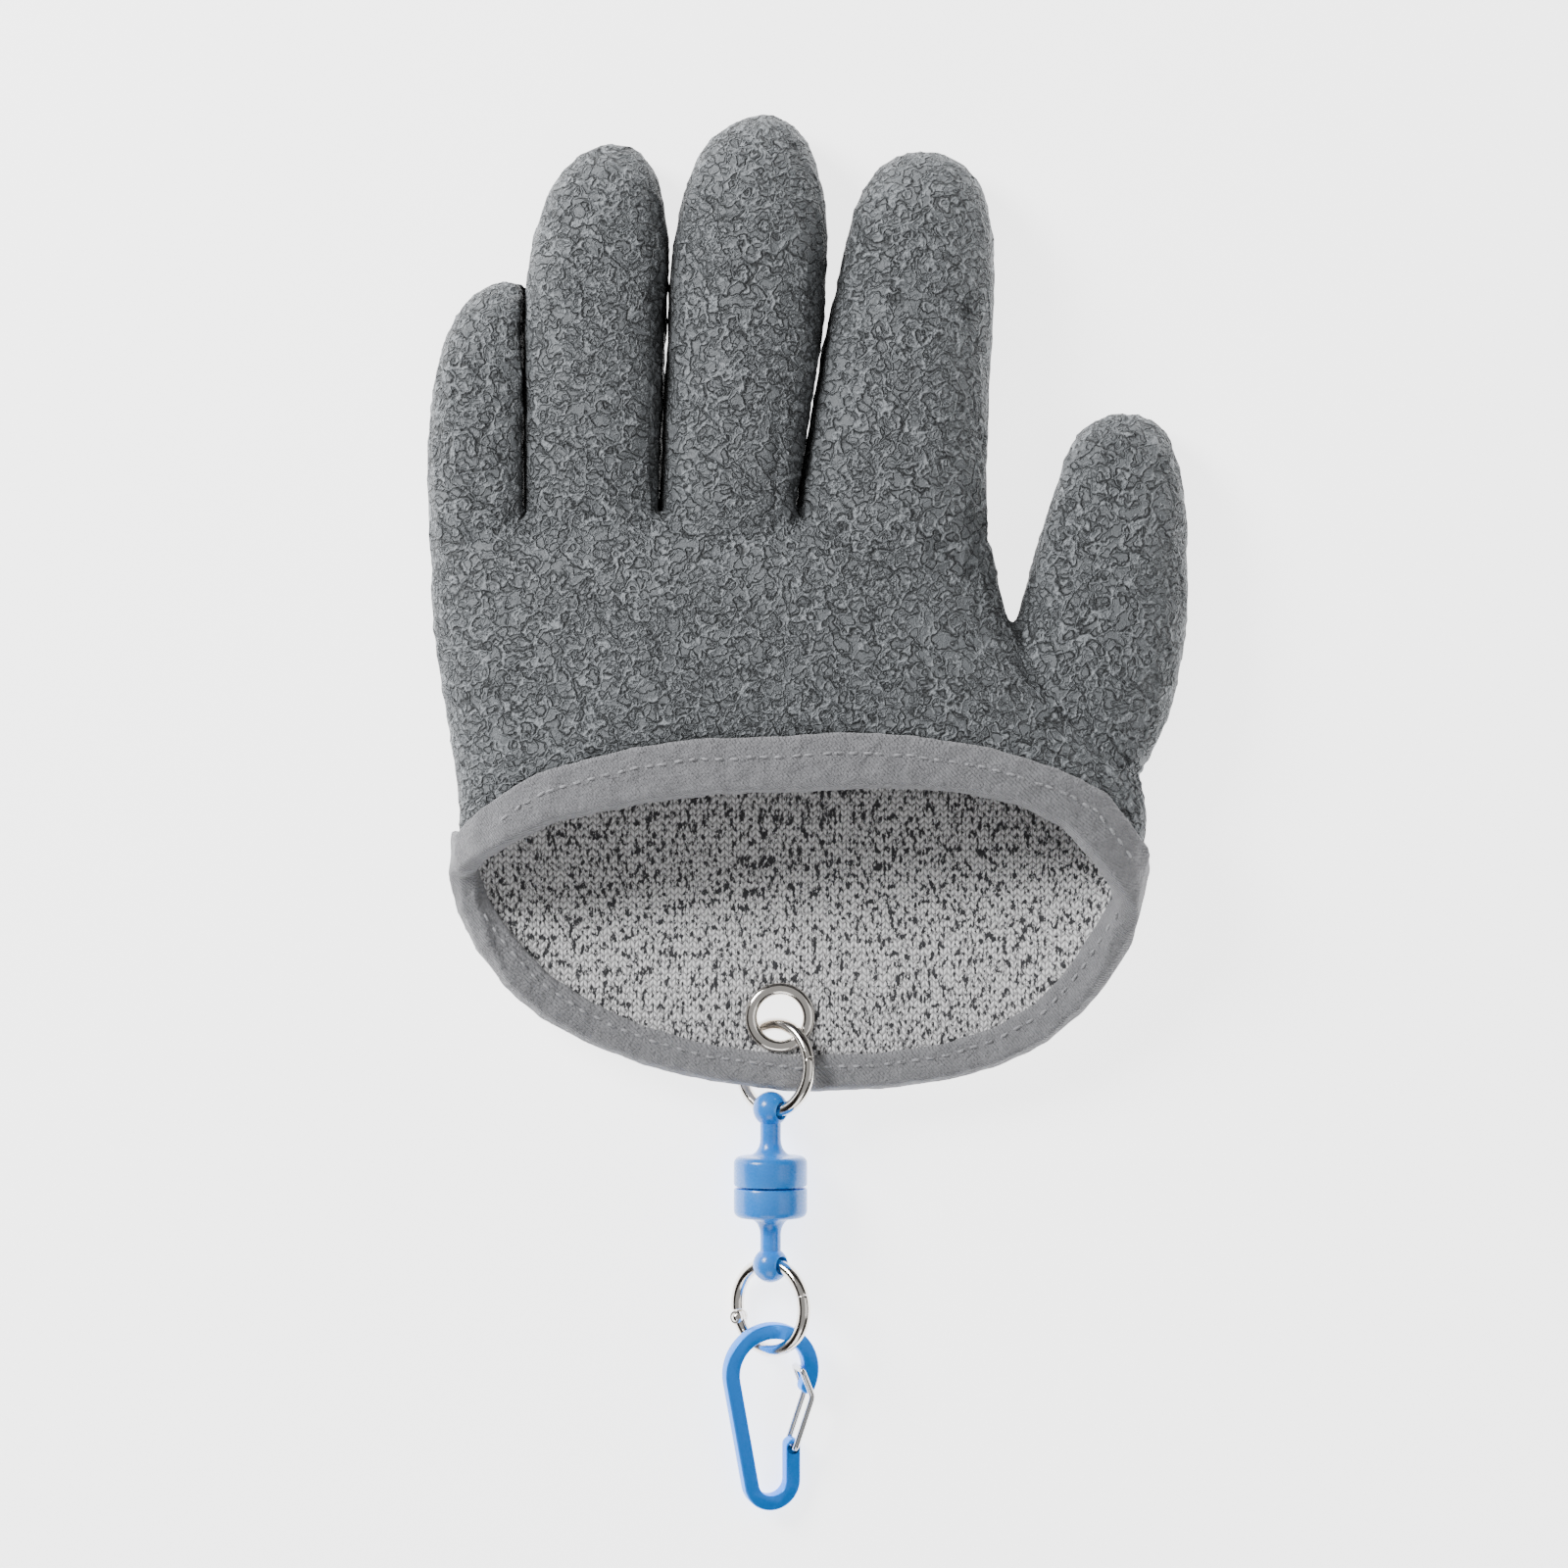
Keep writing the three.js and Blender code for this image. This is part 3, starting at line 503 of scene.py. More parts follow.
def knit_material():
    """Knitted lining: V-shaped stitches in upright rows, in pale yarn flecked with dark fibres."""
    n = Nodes("knit_lining")
    place = n.warped(n.millimetres(), 0.09, 1.6)
    split = n.add("SeparateXYZ", {0: place})
    wale = n.maths("DIVIDE", split.outputs["X"], 1.6)
    across = n.maths("ABSOLUTE", n.maths("SUBTRACT", n.maths("FRACT", wale, None), 0.5), None)
    slope = n.maths("MULTIPLY", across, 1.3)
    course = n.maths("SUBTRACT", n.maths("DIVIDE", split.outputs["Y"], 1.35), slope)
    along = n.maths("ABSOLUTE", n.maths("SUBTRACT", n.maths("FRACT", course, None), 0.5), None)
    leg = n.maths("SUBTRACT", 1.0, n.maths("MULTIPLY", along, 2.0), clamp=True)
    gutter = n.maths("MULTIPLY", n.maths("SUBTRACT", 0.5, across), across)
    round_leg = n.maths("MULTIPLY", n.maths("POWER", leg, 0.6), n.maths("POWER", gutter, 0.5))
    fibres = n.noise(n.millimetres(), 5.0, 4.0, 0.7)
    drawn = n.add("VectorMath", {0: n.millimetres(), 1: (1.0, 0.45, 1.0)}, operation="MULTIPLY")
    fleck = n.add("MapRange", {"Value": n.noise(drawn.outputs[0], 1.25, 3.0, 0.65), 1: 0.51, 2: 0.57})
    tone = n.mix(fleck.outputs[0], settings().knit_colour, settings().fleck_colour)
    # Painted shade: the gutters between the stitches' legs are darkened in colour.
    shade = n.add("MapRange", {"Value": round_leg, 1: 0.0, 2: 0.17, 3: 0.16, 4: 1.0}).outputs[0]
    tone = n.mix(shade, [c * 0.5 for c in settings().fleck_colour], tone)
    height = n.maths("ADD", round_leg, n.maths("MULTIPLY", fibres, 0.15))
    return n.finish(
        (height, 0.0012, 0.9), Base_Color=tone, Roughness=0.9, Specular_IOR_Level=0.2,
        Sheen_Weight=0.25, Sheen_Roughness=0.6,
    )


def yarn_material(name, colour):
    """Spun yarn: fine fibres along a soft thread."""
    n = Nodes(name)
    place = n.millimetres()
    fibres = n.noise(place, 7.0, 4.0, 0.7)
    fleck = n.add("MapRange", {"Value": n.noise(place, 1.4, 4.0, 0.75), 1: 0.52, 2: 0.64})
    tone = n.mix(fleck.outputs[0], colour, [c * 0.22 for c in colour])
    return n.finish(
        (fibres, 0.0002, 0.7), Base_Color=tone, Roughness=0.9, Specular_IOR_Level=0.2,
        Sheen_Weight=0.3, Sheen_Roughness=0.5,
    )


def binding_material():
    """Elastic tape: fine cross ribs with small puckers, paler where the puckers stand higher."""
    n = Nodes("cuff_tape")
    place = n.millimetres()
    ribs = n.add(
        "TexWave", {"Vector": place, "Scale": 0.75, "Distortion": 2.0, "Detail": 2.0,
                    "Detail Scale": 1.5},
        bands_direction="DIAGONAL",
    ).outputs["Fac"]
    weave = n.add("TexVoronoi", {"Vector": place, "Scale": 1.9}).outputs["Distance"]
    pucker = n.noise(n.warped(place, 0.3, 2.0), 0.32, 3.0, 0.6)
    grain = n.noise(place, 5.0, 3.0, 0.65)
    height = n.maths("ADD", n.maths("MULTIPLY", ribs, 0.35), n.maths("MULTIPLY", pucker, 2.2))
    height = n.maths("SUBTRACT", height, n.maths("MULTIPLY", weave, 0.5))
    height = n.maths("ADD", height, n.maths("MULTIPLY", grain, 0.3))
    base = settings().binding_colour
    # Paler where the puckers stand higher, darker where they sink.
    tone = n.mix(pucker, [c * 0.74 for c in base], [c * 1.28 for c in base])
    tone = n.mix(n.maths("MULTIPLY", weave, 0.45), tone, [c * 0.5 for c in base])
    return n.finish(
        (height, 0.00045, 0.9), Base_Color=tone, Roughness=0.88, Specular_IOR_Level=0.25,
        Sheen_Weight=0.2, Sheen_Roughness=0.5,
    )


def metal_material(name, colour, roughness, wear=0.1):
    """Polished metal with faint rubbing marks."""
    n = Nodes(name)
    place = n.millimetres()
    scuffs = n.noise(n.warped(place, 0.6, 2.0), 1.1, 4.0, 0.65)
    rough = n.add(
        "MapRange", {"Value": scuffs, 1: 0.35, 2: 0.75, 3: roughness, 4: roughness + wear}
    ).outputs[0]
    tone = n.mix(n.maths("MULTIPLY", scuffs, 0.25), colour, [c * 0.75 for c in colour])
    return n.finish(
        (n.noise(place, 2.5, 3.0, 0.6), 0.00004, 0.35), Base_Color=tone, Metallic=1.0,
        Roughness=rough,
    )


def magnet_material():
    """Glossy blue paint, paler along the edges as a painted highlight."""
    n = Nodes("blue_gloss")
    place = n.millimetres()
    base = settings().magnet_colour
    cloud = n.noise(place, 0.25, 3.0, 0.6)
    edge = n.add("NewGeometry").outputs["Pointiness"]
    # Painted highlight: the paint's colour is paler along the sharp edges.
    painted_edge_highlight = n.add("MapRange", {"Value": edge, 1: 0.53, 2: 0.60, 3: 0.0, 4: 0.6}).outputs[0]
    tone = n.mix(cloud, [c * 0.85 for c in base], [min(c * 1.15, 1) for c in base])
    tone = n.mix(painted_edge_highlight, tone, [min(c * 1.6 + 0.05, 1) for c in base])
    rough = n.add("MapRange", {"Value": n.noise(place, 1.6, 3.0), 1: 0.3, 2: 0.7, 3: 0.2, 4: 0.34})
    return n.finish(
        (n.noise(place, 0.8, 2.0, 0.5), 0.00003, 0.3), Base_Color=tone,
        Roughness=rough.outputs[0], Coat_Weight=0.3, Coat_Roughness=0.12,
    )


def clip_material():
    """Satin anodised aluminium, its edges paler as a painted highlight."""
    n = Nodes("blue_anodised")
    place = n.millimetres()
    base = settings().clip_colour
    brushed = n.noise(n.warped(place, 0.5, 1.0), 2.2, 5.0, 0.7)
    edge = n.add("NewGeometry").outputs["Pointiness"]
    # Painted highlight: the colour is paler along the sharp edges.
    painted_edge_highlight = n.add("MapRange", {"Value": edge, 1: 0.53, 2: 0.62, 3: 0.0, 4: 0.4}).outputs[0]
    tone = n.mix(brushed, [c * 0.82 for c in base], [min(c * 1.15, 1) for c in base])
    tone = n.mix(painted_edge_highlight, tone, (0.30, 0.60, 0.92))
    rough = n.add("MapRange", {"Value": brushed, 1: 0.3, 2: 0.7, 3: 0.30, 4: 0.46}).outputs[0]
    return n.finish(
        (brushed, 0.00004, 0.4), Base_Color=tone, Metallic=0.55, Roughness=rough,
    )


def surface_tree(obj):
    """The object's surface for nearest-point and ray questions. The object stands at the origin."""
    mesh = obj.data
    return BVHTree.FromPolygons(
        [v.co.copy() for v in mesh.vertices], [tuple(p.vertices) for p in mesh.polygons]
    )


def outer_skin(node, lining, name, apart):
    """A CAD shell's outer surface: all but the faces that look at the lining close by."""
    obj = merged_copy(node, name)
    inside = surface_tree(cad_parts[lining])
    mesh = bmesh.new()
    mesh.from_mesh(obj.data)
    inner = []
    for face in mesh.faces:
        middle = face.calc_center_median()
        nearest, _normal, _index, distance = inside.find_nearest(middle)
        if distance < apart and face.normal.dot(nearest - middle) > distance / 2:
            inner.append(face)
    bmesh.ops.delete(mesh, geom=inner, context="FACES")
    mesh.to_mesh(obj.data)
    mesh.free()
    return obj


def push_out(obj, height):
    """Moves each point along its normal by height(place), both in millimetres."""
    count = len(obj.data.vertices)
    places = np.empty(count * 3)
    normals = np.empty(count * 3)
    obj.data.vertices.foreach_get("co", places)
    obj.data.vertex_normals.foreach_get("vector", normals)
    places = places.reshape(-1, 3)
    rise = np.array([height(Vector(place) / MM) for place in places]) * MM
    places += normals.reshape(-1, 3) * rise[:, None]
    obj.data.vertices.foreach_set("co", places.ravel())
    obj.data.update()


def eyelet_place():
    low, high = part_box("eyelet")
    return (low + high) / 2


def drop_faces(obj, unwanted):
    """Removes the faces for which unwanted(centre) is true, with their loose points."""
    mesh = bmesh.new()
    mesh.from_mesh(obj.data)
    gone = [f for f in mesh.faces if unwanted(f.calc_center_median())]
    bmesh.ops.delete(mesh, geom=gone, context="FACES")
    mesh.to_mesh(obj.data)
    mesh.free()


def fold_height(place):
    """How far the coating stands in or out at a place in millimetres, in millimetres."""
    bend = noise.noise_vector(place * 0.09) * 4.0
    worm = 1 - min(abs(noise.noise((place + bend) * 0.21)) * 4.5, 1.0)
    small = 1 - min(abs(noise.noise((place + bend) * 0.45 + Vector((9, 4, 2)))) * 3.5, 1.0)
    swell = noise.noise(place * 0.055)
    return FOLD_HEIGHT * worm + SMALL_FOLD * small + SWELL_HEIGHT * swell - FOLD_SINK


class GLOVE_OT_coating(bpy.types.Operator):
    """Models the glove's crinkled latex coating, from the CAD shell's outer surface"""

    bl_idname = "glove.coating"
    bl_label = "Coating"

    def execute(self, context):
        skin = outer_skin("latex_shell", "knit_liner", "latex_coating", COATING_APART * MM)
        face_outwards(skin)
        levels = settings().skin_levels
        apply_modifier(skin, "SUBSURF", levels=levels, render_levels=levels)
        apply_modifier(skin, "SMOOTH", factor=0.5, iterations=6)
        noise.seed_set(FOLD_SEED)
        push_out(skin, fold_height)
        ring = eyelet_place()
        drop_faces(skin, lambda c: (c - ring).xy.length < COATING_HOLE * MM)
        smooth_shading(skin, 180)
        finish_piece(skin, "glove", "latex", latex_material(), "latex_shell")
        return {"FINISHED"}


class GLOVE_OT_lining(bpy.types.Operator):
    """Models the knitted lining that shows inside the cuff"""

    bl_idname = "glove.lining"
    bl_label = "Lining"

    def execute(self, context):
        lining = merged_copy("knit_liner", "knit_lining")
        apply_modifier(lining, "SUBSURF", levels=1, render_levels=1)
        finish_piece(lining, "glove", "knit", knit_material(), "knit_liner")
        smooth_shading(lining, 60)
        return {"FINISHED"}


def straight_down(tree, x, y):
    """What a ray from above meets at a place in millimetres."""
    return tree.ray_cast(Vector((x, y, ABOVE_ALL)) * MM, Vector((0, 0, -1)))


def cuff_edges(tree):
    """The tape's edges seen from above, in millimetres: along the rim, and round the lip's inside."""
    rim, lip = [], []
    for x in np.arange(LOOK_FROM[0], LOOK_TO[0], LOOK_STEP[0]):
        crossings = []
        was_hit = False
        for y in np.arange(LOOK_FROM[1], LOOK_TO[1], LOOK_STEP[1]):
            hit = straight_down(tree, x, y)[0] is not None
            if hit and not was_hit:
                crossings.append(Vector((x, y)))
            was_hit = hit
        if crossings:
            rim.append(crossings[0])
        if len(crossings) > 1:
            lip.append(crossings[-1])
    return rim, lip


def evenly(points, pitch):
    """Points at an even pitch along the line, each with the line's direction there."""
    placed = []
    spare = pitch / 2
    for first, second in zip(points, points[1:]):
        run = (second - first).length
        while spare <= run:
            placed.append((first.lerp(second, spare / run), (second - first).normalized()))
            spare += pitch
        spare -= run
    return placed


def stitches(name, tree, edge, inset):
    """A row of thread stitches laid on the tape, inset from its edge."""
    sides, rings = 8, 7
    points, faces = [], []
    softened = [
        (a + b * 2 + c) / 4 for a, b, c in zip(edge, edge[1:], edge[2:])
    ]
    for place, run in evenly(softened, settings().stitch_pitch / MM):
        inward = Vector((run.y, -run.x))
        spot = place + inward * inset
        hit, normal, _index, _far = straight_down(tree, spot.x, spot.y)
        if hit is None:
            continue
        along = Vector((run.x, run.y, 0))
        along = (along - normal * along.dot(normal)).normalized()
        side = normal.cross(along)
        first = len(points)
        for ring in range(rings):
            share = -1 + 2 * ring / (rings - 1)
            size = STITCH_RADIUS * math.sqrt(max(1 - abs(share) ** 3, 0.02))
            sink = 0.12 - 0.30 * share * share
            middle = hit / MM + along * share * STITCH_LENGTH / 2 + normal * sink
            for i in range(sides):
                turn = FULL_TURN * i / sides
                points.append((middle + (side * math.cos(turn) + normal * math.sin(turn)) * size) * MM)
        for ring in range(rings - 1):
            for i in range(sides):
                a = first + ring * sides + i
                b = first + ring * sides + (i + 1) % sides
                faces.append((a, b, b + sides, a + sides))
        faces.append([first + i for i in reversed(range(sides))])
        faces.append([first + (rings - 1) * sides + i for i in range(sides)])
    sewn = new_object(name, points, [], faces)
    face_outwards(sewn)
    return sewn


class GLOVE_OT_binding(bpy.types.Operator):
    """Models the tape folded over the cuff's edge, with its sewn stitches"""

    bl_idname = "glove.binding"
    bl_label = "Binding"

    def execute(self, context):
        tape = merged_copy("cuff_binding", "cuff_binding_tape")
        apply_modifier(tape, "SUBSURF", levels=1, render_levels=1, subdivision_type="SIMPLE")
        push_out(tape, lambda place: TAPE_SWELL)
        remesh(tape, settings().tape_voxel)
        apply_modifier(tape, "SMOOTH", factor=0.5, iterations=6)
        push_out(
            tape, lambda place: TAPE_PUCKER * noise.noise(place * PUCKER_SCALE) + TAPE_PLUMP
        )
        smooth_shading(tape, 180)
        finish_piece(tape, "glove", "binding", binding_material(), "cuff_binding")
        tree = surface_tree(tape)
        rows = cuff_edges(tree)
        thread = yarn_material("stitch_thread", (0.42, 0.42, 0.44))
        for name, edge, inset in (
            ("rim_stitches", rows[0], RIM_INSET), ("lip_stitches", rows[1], LIP_INSET),
        ):
            sewn = stitches(name, tree, edge, inset)
            finish_piece(sewn, "glove", "binding", thread)
            smooth_shading(sewn, 60)
        return {"FINISHED"}


class GLOVE_OT_eyelet(bpy.types.Operator):
    """Models the eyelet pressed through the cuff's lip"""

    bl_idname = "glove.eyelet"
    bl_label = "Eyelet"

    def execute(self, context):
        low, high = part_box("eyelet")
        middle = (low + high) / 2
        rim = (high.x - low.x) / 2 / MM
        half = (high.z - low.z) / 2 / MM
        bore = EYELET_BORE / 2
        roll = (rim - bore) / 2
        profile = [
            (bore, -half + 0.5), (bore + 0.25, -half + 0.15), (bore + 0.7, -half),
            (rim - 0.3, -half), (rim, -half + 0.25), (rim, -half + 0.5),
            (rim - 0.3, -half + 0.65), (bore + 0.6, -half + 0.7), (bore + 0.6, half - 0.8),
        ]
        for i in range(13):
            turn = HALF_TURN * i / 12
            height = half - ROLL_DROP + ROLL_RISE * math.sin(turn)
            profile.append((bore + roll + roll * math.cos(turn), height))
        profile.append((bore, -half + 0.5))
        eyelet = spun("eyelet_ring", profile, middle, (0, 0, 1))
        nickel = metal_material("eyelet_nickel", settings().nickel_colour, 0.10)
        finish_piece(eyelet, "glove", "nickel", nickel, "eyelet")
        return {"FINISHED"}


def ball_place(node, upwards):
    """The middle of a magnet half's ball, from the CAD node's box."""
    low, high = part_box(node)
    middle = (low + high) / 2
    radius = BALL_DIAMETER / 2 * MM
    return Vector((middle.x, high.y - radius if upwards else low.y + radius, middle.z))


def ring_frame(start, end):
    """Where a ring's wire is at each angle, and its directions: along, aside, normal."""
    along = (end - start).normalized()
    level = Vector((0, 0, 1)).cross(along).normalized()
    tilt = math.radians(LINK_TILT)
    aside = level * math.cos(tilt) + Vector((0, 0, math.sin(tilt)))
    centre = (start + end) / 2
    radius = LINK_DIAMETER / 2 * MM

    def at(angle):
        turn = math.radians(angle)
        return centre - along * radius * math.cos(turn) + aside * radius * math.sin(turn)

    return at, along, aside, along.cross(aside).normalized()


def upper_ring_ends():
    run = Vector((-CHAIN_SHIFT, -math.sqrt(LINK_DIAMETER ** 2 - CHAIN_SHIFT ** 2), 0))
    way = run.normalized()
    end = ball_place("magnet_upper_half", True) + way * WIRE_SAG * MM
    return end - way * LINK_DIAMETER * MM, end


def lower_ring_ends():
    start = ball_place("magnet_lower_half", False) + Vector((0, WIRE_SAG, 0)) * MM
    return start, start - Vector((0, LINK_DIAMETER, 0)) * MM


def knuckle(name, place, normal):
    """The ring's hinge: three lobes side by side on a pin with domed heads."""
    half = KNUCKLE_LENGTH / 2
    lobe = KNUCKLE_DIAMETER / 2
    third = KNUCKLE_LENGTH / 6
    pin = PIN_RADIUS
    profile = [
        (0, -half - PIN_HEAD), (pin * 0.6, -half - 0.38), (pin, -half - 0.1), (pin, -half),
        (lobe - 0.2, -half), (lobe, -half + 0.2), (lobe, -third - 0.12), (lobe - 0.35, -third),
        (lobe, -third + 0.12), (lobe, third - 0.12), (lobe - 0.35, third), (lobe, third + 0.12),
        (lobe, half - 0.2), (lobe - 0.2, half), (pin, half), (pin, half + 0.1),
        (pin * 0.6, half + 0.38), (0, half + PIN_HEAD),
    ]
    return spun(name, profile, place, normal)


def ring_halves(prefix, ends, body):
    """A hinged ring as its two halves, in place of the two CAD nodes with that prefix."""
    at, _along, _aside, normal = ring_frame(*ends)
    per_mm = 360 / (math.pi * LINK_DIAMETER)
    seam = LINK_SEAM * per_mm
    gap = (KNUCKLE_DIAMETER / 2 + LINK_SEAM) * per_mm
    nickel = metal_material(prefix + "_nickel", settings().nickel_colour, 0.09)
    spans = {
        "fixed": (CLASP_AT + seam / 2, HINGE_AT),
        "swing": (HINGE_AT + gap, CLASP_AT + 360 - seam / 2),
    }
    for half, (start, end) in spans.items():
        steps = 64
        points = [at(start + (end - start) * i / steps) for i in range(steps + 1)]
        wire = tube(prefix + "_" + half, points, settings().wire_diameter)
        apply_modifier(wire, "BEVEL", width=WIRE_BEVEL * MM, segments=3, limit_method="ANGLE")
        if half == "fixed":
            joined(wire, knuckle("knuckle", at(HINGE_AT), normal))
        smooth_shading(wire, 40)
        finish_piece(wire, body, "nickel", nickel, prefix + "_" + half + "_half")


class GLOVE_OT_rings(bpy.types.Operator):
    """Models the two hinged rings of the chain"""

    bl_idname = "glove.rings"
    bl_label = "Rings"

    def execute(self, context):
        ring_halves("upper_ring", upper_ring_ends(), "glove")
        ring_halves("lower_ring", lower_ring_ends(), "release")
        return {"FINISHED"}


def magnet_profile():
    """(radius, height) rows of a magnet half, from its parting face to the top of its ball."""
    rim = MAGNET_DIAMETER / 2
    neck = NECK_DIAMETER / 2
    ball = BALL_DIAMETER / 2
    rows = [(0, 0), (rim - 0.5, 0), (rim - 0.15, 0.12), (rim, 0.45)]
    edge = MAGNET_EDGE
    for i in range(7):
        turn = HALF_TURN / 2 * i / 6
        rows.append((
            rim - edge * (1 - math.cos(turn)), MAGNET_HEIGHT - edge * (1 - math.sin(turn)),
        ))
    flare = NECK_FLARE
    for i in range(8):
        turn = HALF_TURN / 2 * i / 7
        rows.append((
            neck + flare * (1 - math.sin(turn)),
            MAGNET_HEIGHT + 0.1 + flare * FLARE_STRETCH * (1 - math.cos(turn)),
        ))
    rise = math.sqrt(ball ** 2 - neck ** 2)
    middle = MAGNET_HEIGHT + NECK_HEIGHT + rise
    low = -math.asin(rise / ball)
    for i in range(15):
        turn = low + (HALF_TURN / 2 - low) * i / 14
        rows.append((ball * math.cos(turn) if i < 14 else 0, middle + ball * math.sin(turn)))
    return rows, middle


class GLOVE_OT_magnet(bpy.types.Operator):
    """Models the magnetic release's two halves, each with a bored ball for its ring"""

    bl_idname = "glove.magnet"
    bl_label = "Magnetic release"

    def execute(self, context):
        rows, middle = magnet_profile()
        blue = magnet_material()
        halves = (
            ("magnet_upper", True, upper_ring_ends(), "glove"),
            ("magnet_lower", False, lower_ring_ends(), "release"),
        )
        for name, upwards, ends, body in halves:
            ball = ball_place(name + "_half", upwards)
            up = Vector((0, 1 if upwards else -1, 0))
            half = spun(name, rows, ball - up * middle * MM, up)
            aside = ring_frame(*ends)[2]
            bpy.ops.mesh.primitive_cylinder_add(
                vertices=48, radius=BALL_BORE / 2 * MM, depth=2 * BALL_DIAMETER * MM,
                location=ball, rotation=aside.to_track_quat("Z", "Y").to_euler(),
            )
            cut_away(half, bpy.context.view_layer.objects.active)
            apply_modifier(half, "BEVEL", width=MAGNET_BEVEL * MM, segments=3, limit_method="ANGLE",
                           angle_limit=math.radians(50))
            smooth_shading(half, 40)
            finish_piece(half, body, "magnet_blue", blue, name + "_half")
        return {"FINISHED"}


def clip_frame():
    """The clip's own frame: its wide end's middle at the origin, its foot along -Y."""
    turn = (
        Matrix.Rotation(math.radians(CLIP_PITCH), 4, "X")
        @ Matrix.Rotation(math.radians(CLIP_ROLL), 4, "Y")
    )
    seat = CLIP_WIDTH / 2 - CLIP_BAR - CLIP_SLACK - CAD_WIRE / 2
    hung = turn @ Vector((0, seat, 0))
    return Matrix.Translation(lower_ring_ends()[1] - hung * MM) @ turn


def arc(x, y, radius, start, end, steps):
    """Points round a centre, in millimetres, from one angle to another in radians."""
    turns = [start + (end - start) * i / steps for i in range(steps + 1)]
    return [(x + radius * math.cos(t), y + radius * math.sin(t)) for t in turns]


HEAD = CLIP_WIDTH / 2
FOOT = CLIP_FOOT_WIDTH / 2
REACH = CLIP_LENGTH - HEAD - FOOT
ARM_TOP = -REACH * ARM_SHARE
HINGE_PLACE = (FOOT - CLIP_BAR / 2, ARM_TOP - HINGE_DROP + CLIP_BAR / 2)


def clip_outline():
    """The clip's flat outline in millimetres, open between its nose and its hinge arm."""
    lean = math.pi + math.asin((HEAD - FOOT) / REACH)
    nose = math.radians(NOSE_ANGLE)
    tip = HEAD - CLIP_BAR / 2
    tip_place = (tip * math.cos(nose), tip * math.sin(nose))
    outline = arc(0, 0, HEAD, nose, lean, 40)
    outline += arc(0, -REACH, FOOT, lean, FULL_TURN, 32)
    outline += arc(FOOT - CLIP_BAR / 2, ARM_TOP, CLIP_BAR / 2, 0, math.pi, 14)
    outline += arc(0, -REACH, FOOT - CLIP_BAR, FULL_TURN, lean, 28)
    outline += arc(0, 0, HEAD - CLIP_BAR, lean, nose, 34)
    outline += arc(*tip_place, CLIP_BAR / 2, nose + math.pi, nose + FULL_TURN, 8)[1:-1]
    thin = [outline[0]]
    for point in outline[1:]:
        if math.dist(point, thin[-1]) > 0.05:
            thin.append(point)
    return thin


class GLOVE_OT_clip(bpy.types.Operator):
    """Models the anodised clip's body, with the bore for its gate"""

    bl_idname = "glove.clip"
    bl_label = "Clip"

    def execute(self, context):
        half = CLIP_PLATE / 2
        points = [Vector((x, y, -half)) * MM for x, y in clip_outline()]
        clip = new_object("clip_plate", points, [], [list(range(len(points)))])
        bpy.ops.object.mode_set(mode="EDIT")
        bpy.ops.mesh.select_all(action="SELECT")
        bpy.ops.mesh.extrude_region_move(
            TRANSFORM_OT_translate={"value": (0, 0, CLIP_PLATE * MM)}
        )
        bpy.ops.mesh.select_all(action="SELECT")
        bpy.ops.mesh.normals_make_consistent(inside=False)
        bpy.ops.object.mode_set(mode="OBJECT")
        bore = (settings().gate_diameter / 2 / MM + GATE_GAP) * MM
        bpy.ops.mesh.primitive_cylinder_add(
            vertices=32, radius=bore, depth=3 * CLIP_PLATE * MM,
            location=(HINGE_PLACE[0] * MM, HINGE_PLACE[1] * MM, 0),
        )
        cut_away(clip, bpy.context.view_layer.objects.active)
        apply_modifier(clip, "BEVEL", width=CLIP_BEVEL * MM, segments=4, limit_method="ANGLE",
                       angle_limit=math.radians(40), harden_normals=False)
        clip.data.transform(clip_frame())
        smooth_shading(clip, 45)
        finish_piece(clip, "release", "clip_blue", clip_material(), "clip_body")
        return {"FINISHED"}


class GLOVE_OT_gate(bpy.types.Operator):
    """Models the clip's wire gate astride the plate"""

    bl_idname = "glove.gate"
    bl_label = "Gate"

    def execute(self, context):
        wire = settings().gate_diameter / MM
        leg = CLIP_PLATE / 2 + GATE_GAP + wire / 2
        root = CLIP_PLATE / 2 - wire
        bend = (GATE_BEND[0] * HEAD, GATE_BEND[1] * HEAD)
        shut = (HEAD - CLIP_BAR - wire / 2 - GATE_GAP, GATE_END * HEAD)
        upper = [(*HINGE_PLACE, root), (*HINGE_PLACE, leg), (*bend, leg), (*shut, leg)]
        lower = [(x, y, -z) for x, y, z in reversed(upper)]
        place = clip_frame()
        path = [place @ (point * MM) for point in rounded_path(upper + lower, GATE_BEND_RADIUS)]
        gate = tube("gate_wire", path, settings().gate_diameter, 20)
        apply_modifier(gate, "BEVEL", width=GATE_BEVEL * MM, segments=2, limit_method="ANGLE",
                       angle_limit=math.radians(60))
        smooth_shading(gate, 40)
        steel = metal_material("gate_wire_steel", settings().steel_colour, 0.16)
        finish_piece(gate, "gate", "gate_steel", steel, "clip_gate")
        return {"FINISHED"}


def area_light(name, place, aim, size, energy, colour=(1, 1, 1)):
    light = bpy.data.lights.new(name, "AREA")
    light.size = size
    light.energy = energy
    light.color = colour
    obj = bpy.data.objects.new(name, light)
    obj.location = place
    obj.rotation_euler = (Vector(aim) - Vector(place)).to_track_quat("-Z", "Y").to_euler()
    bpy.context.scene.collection.objects.link(obj)


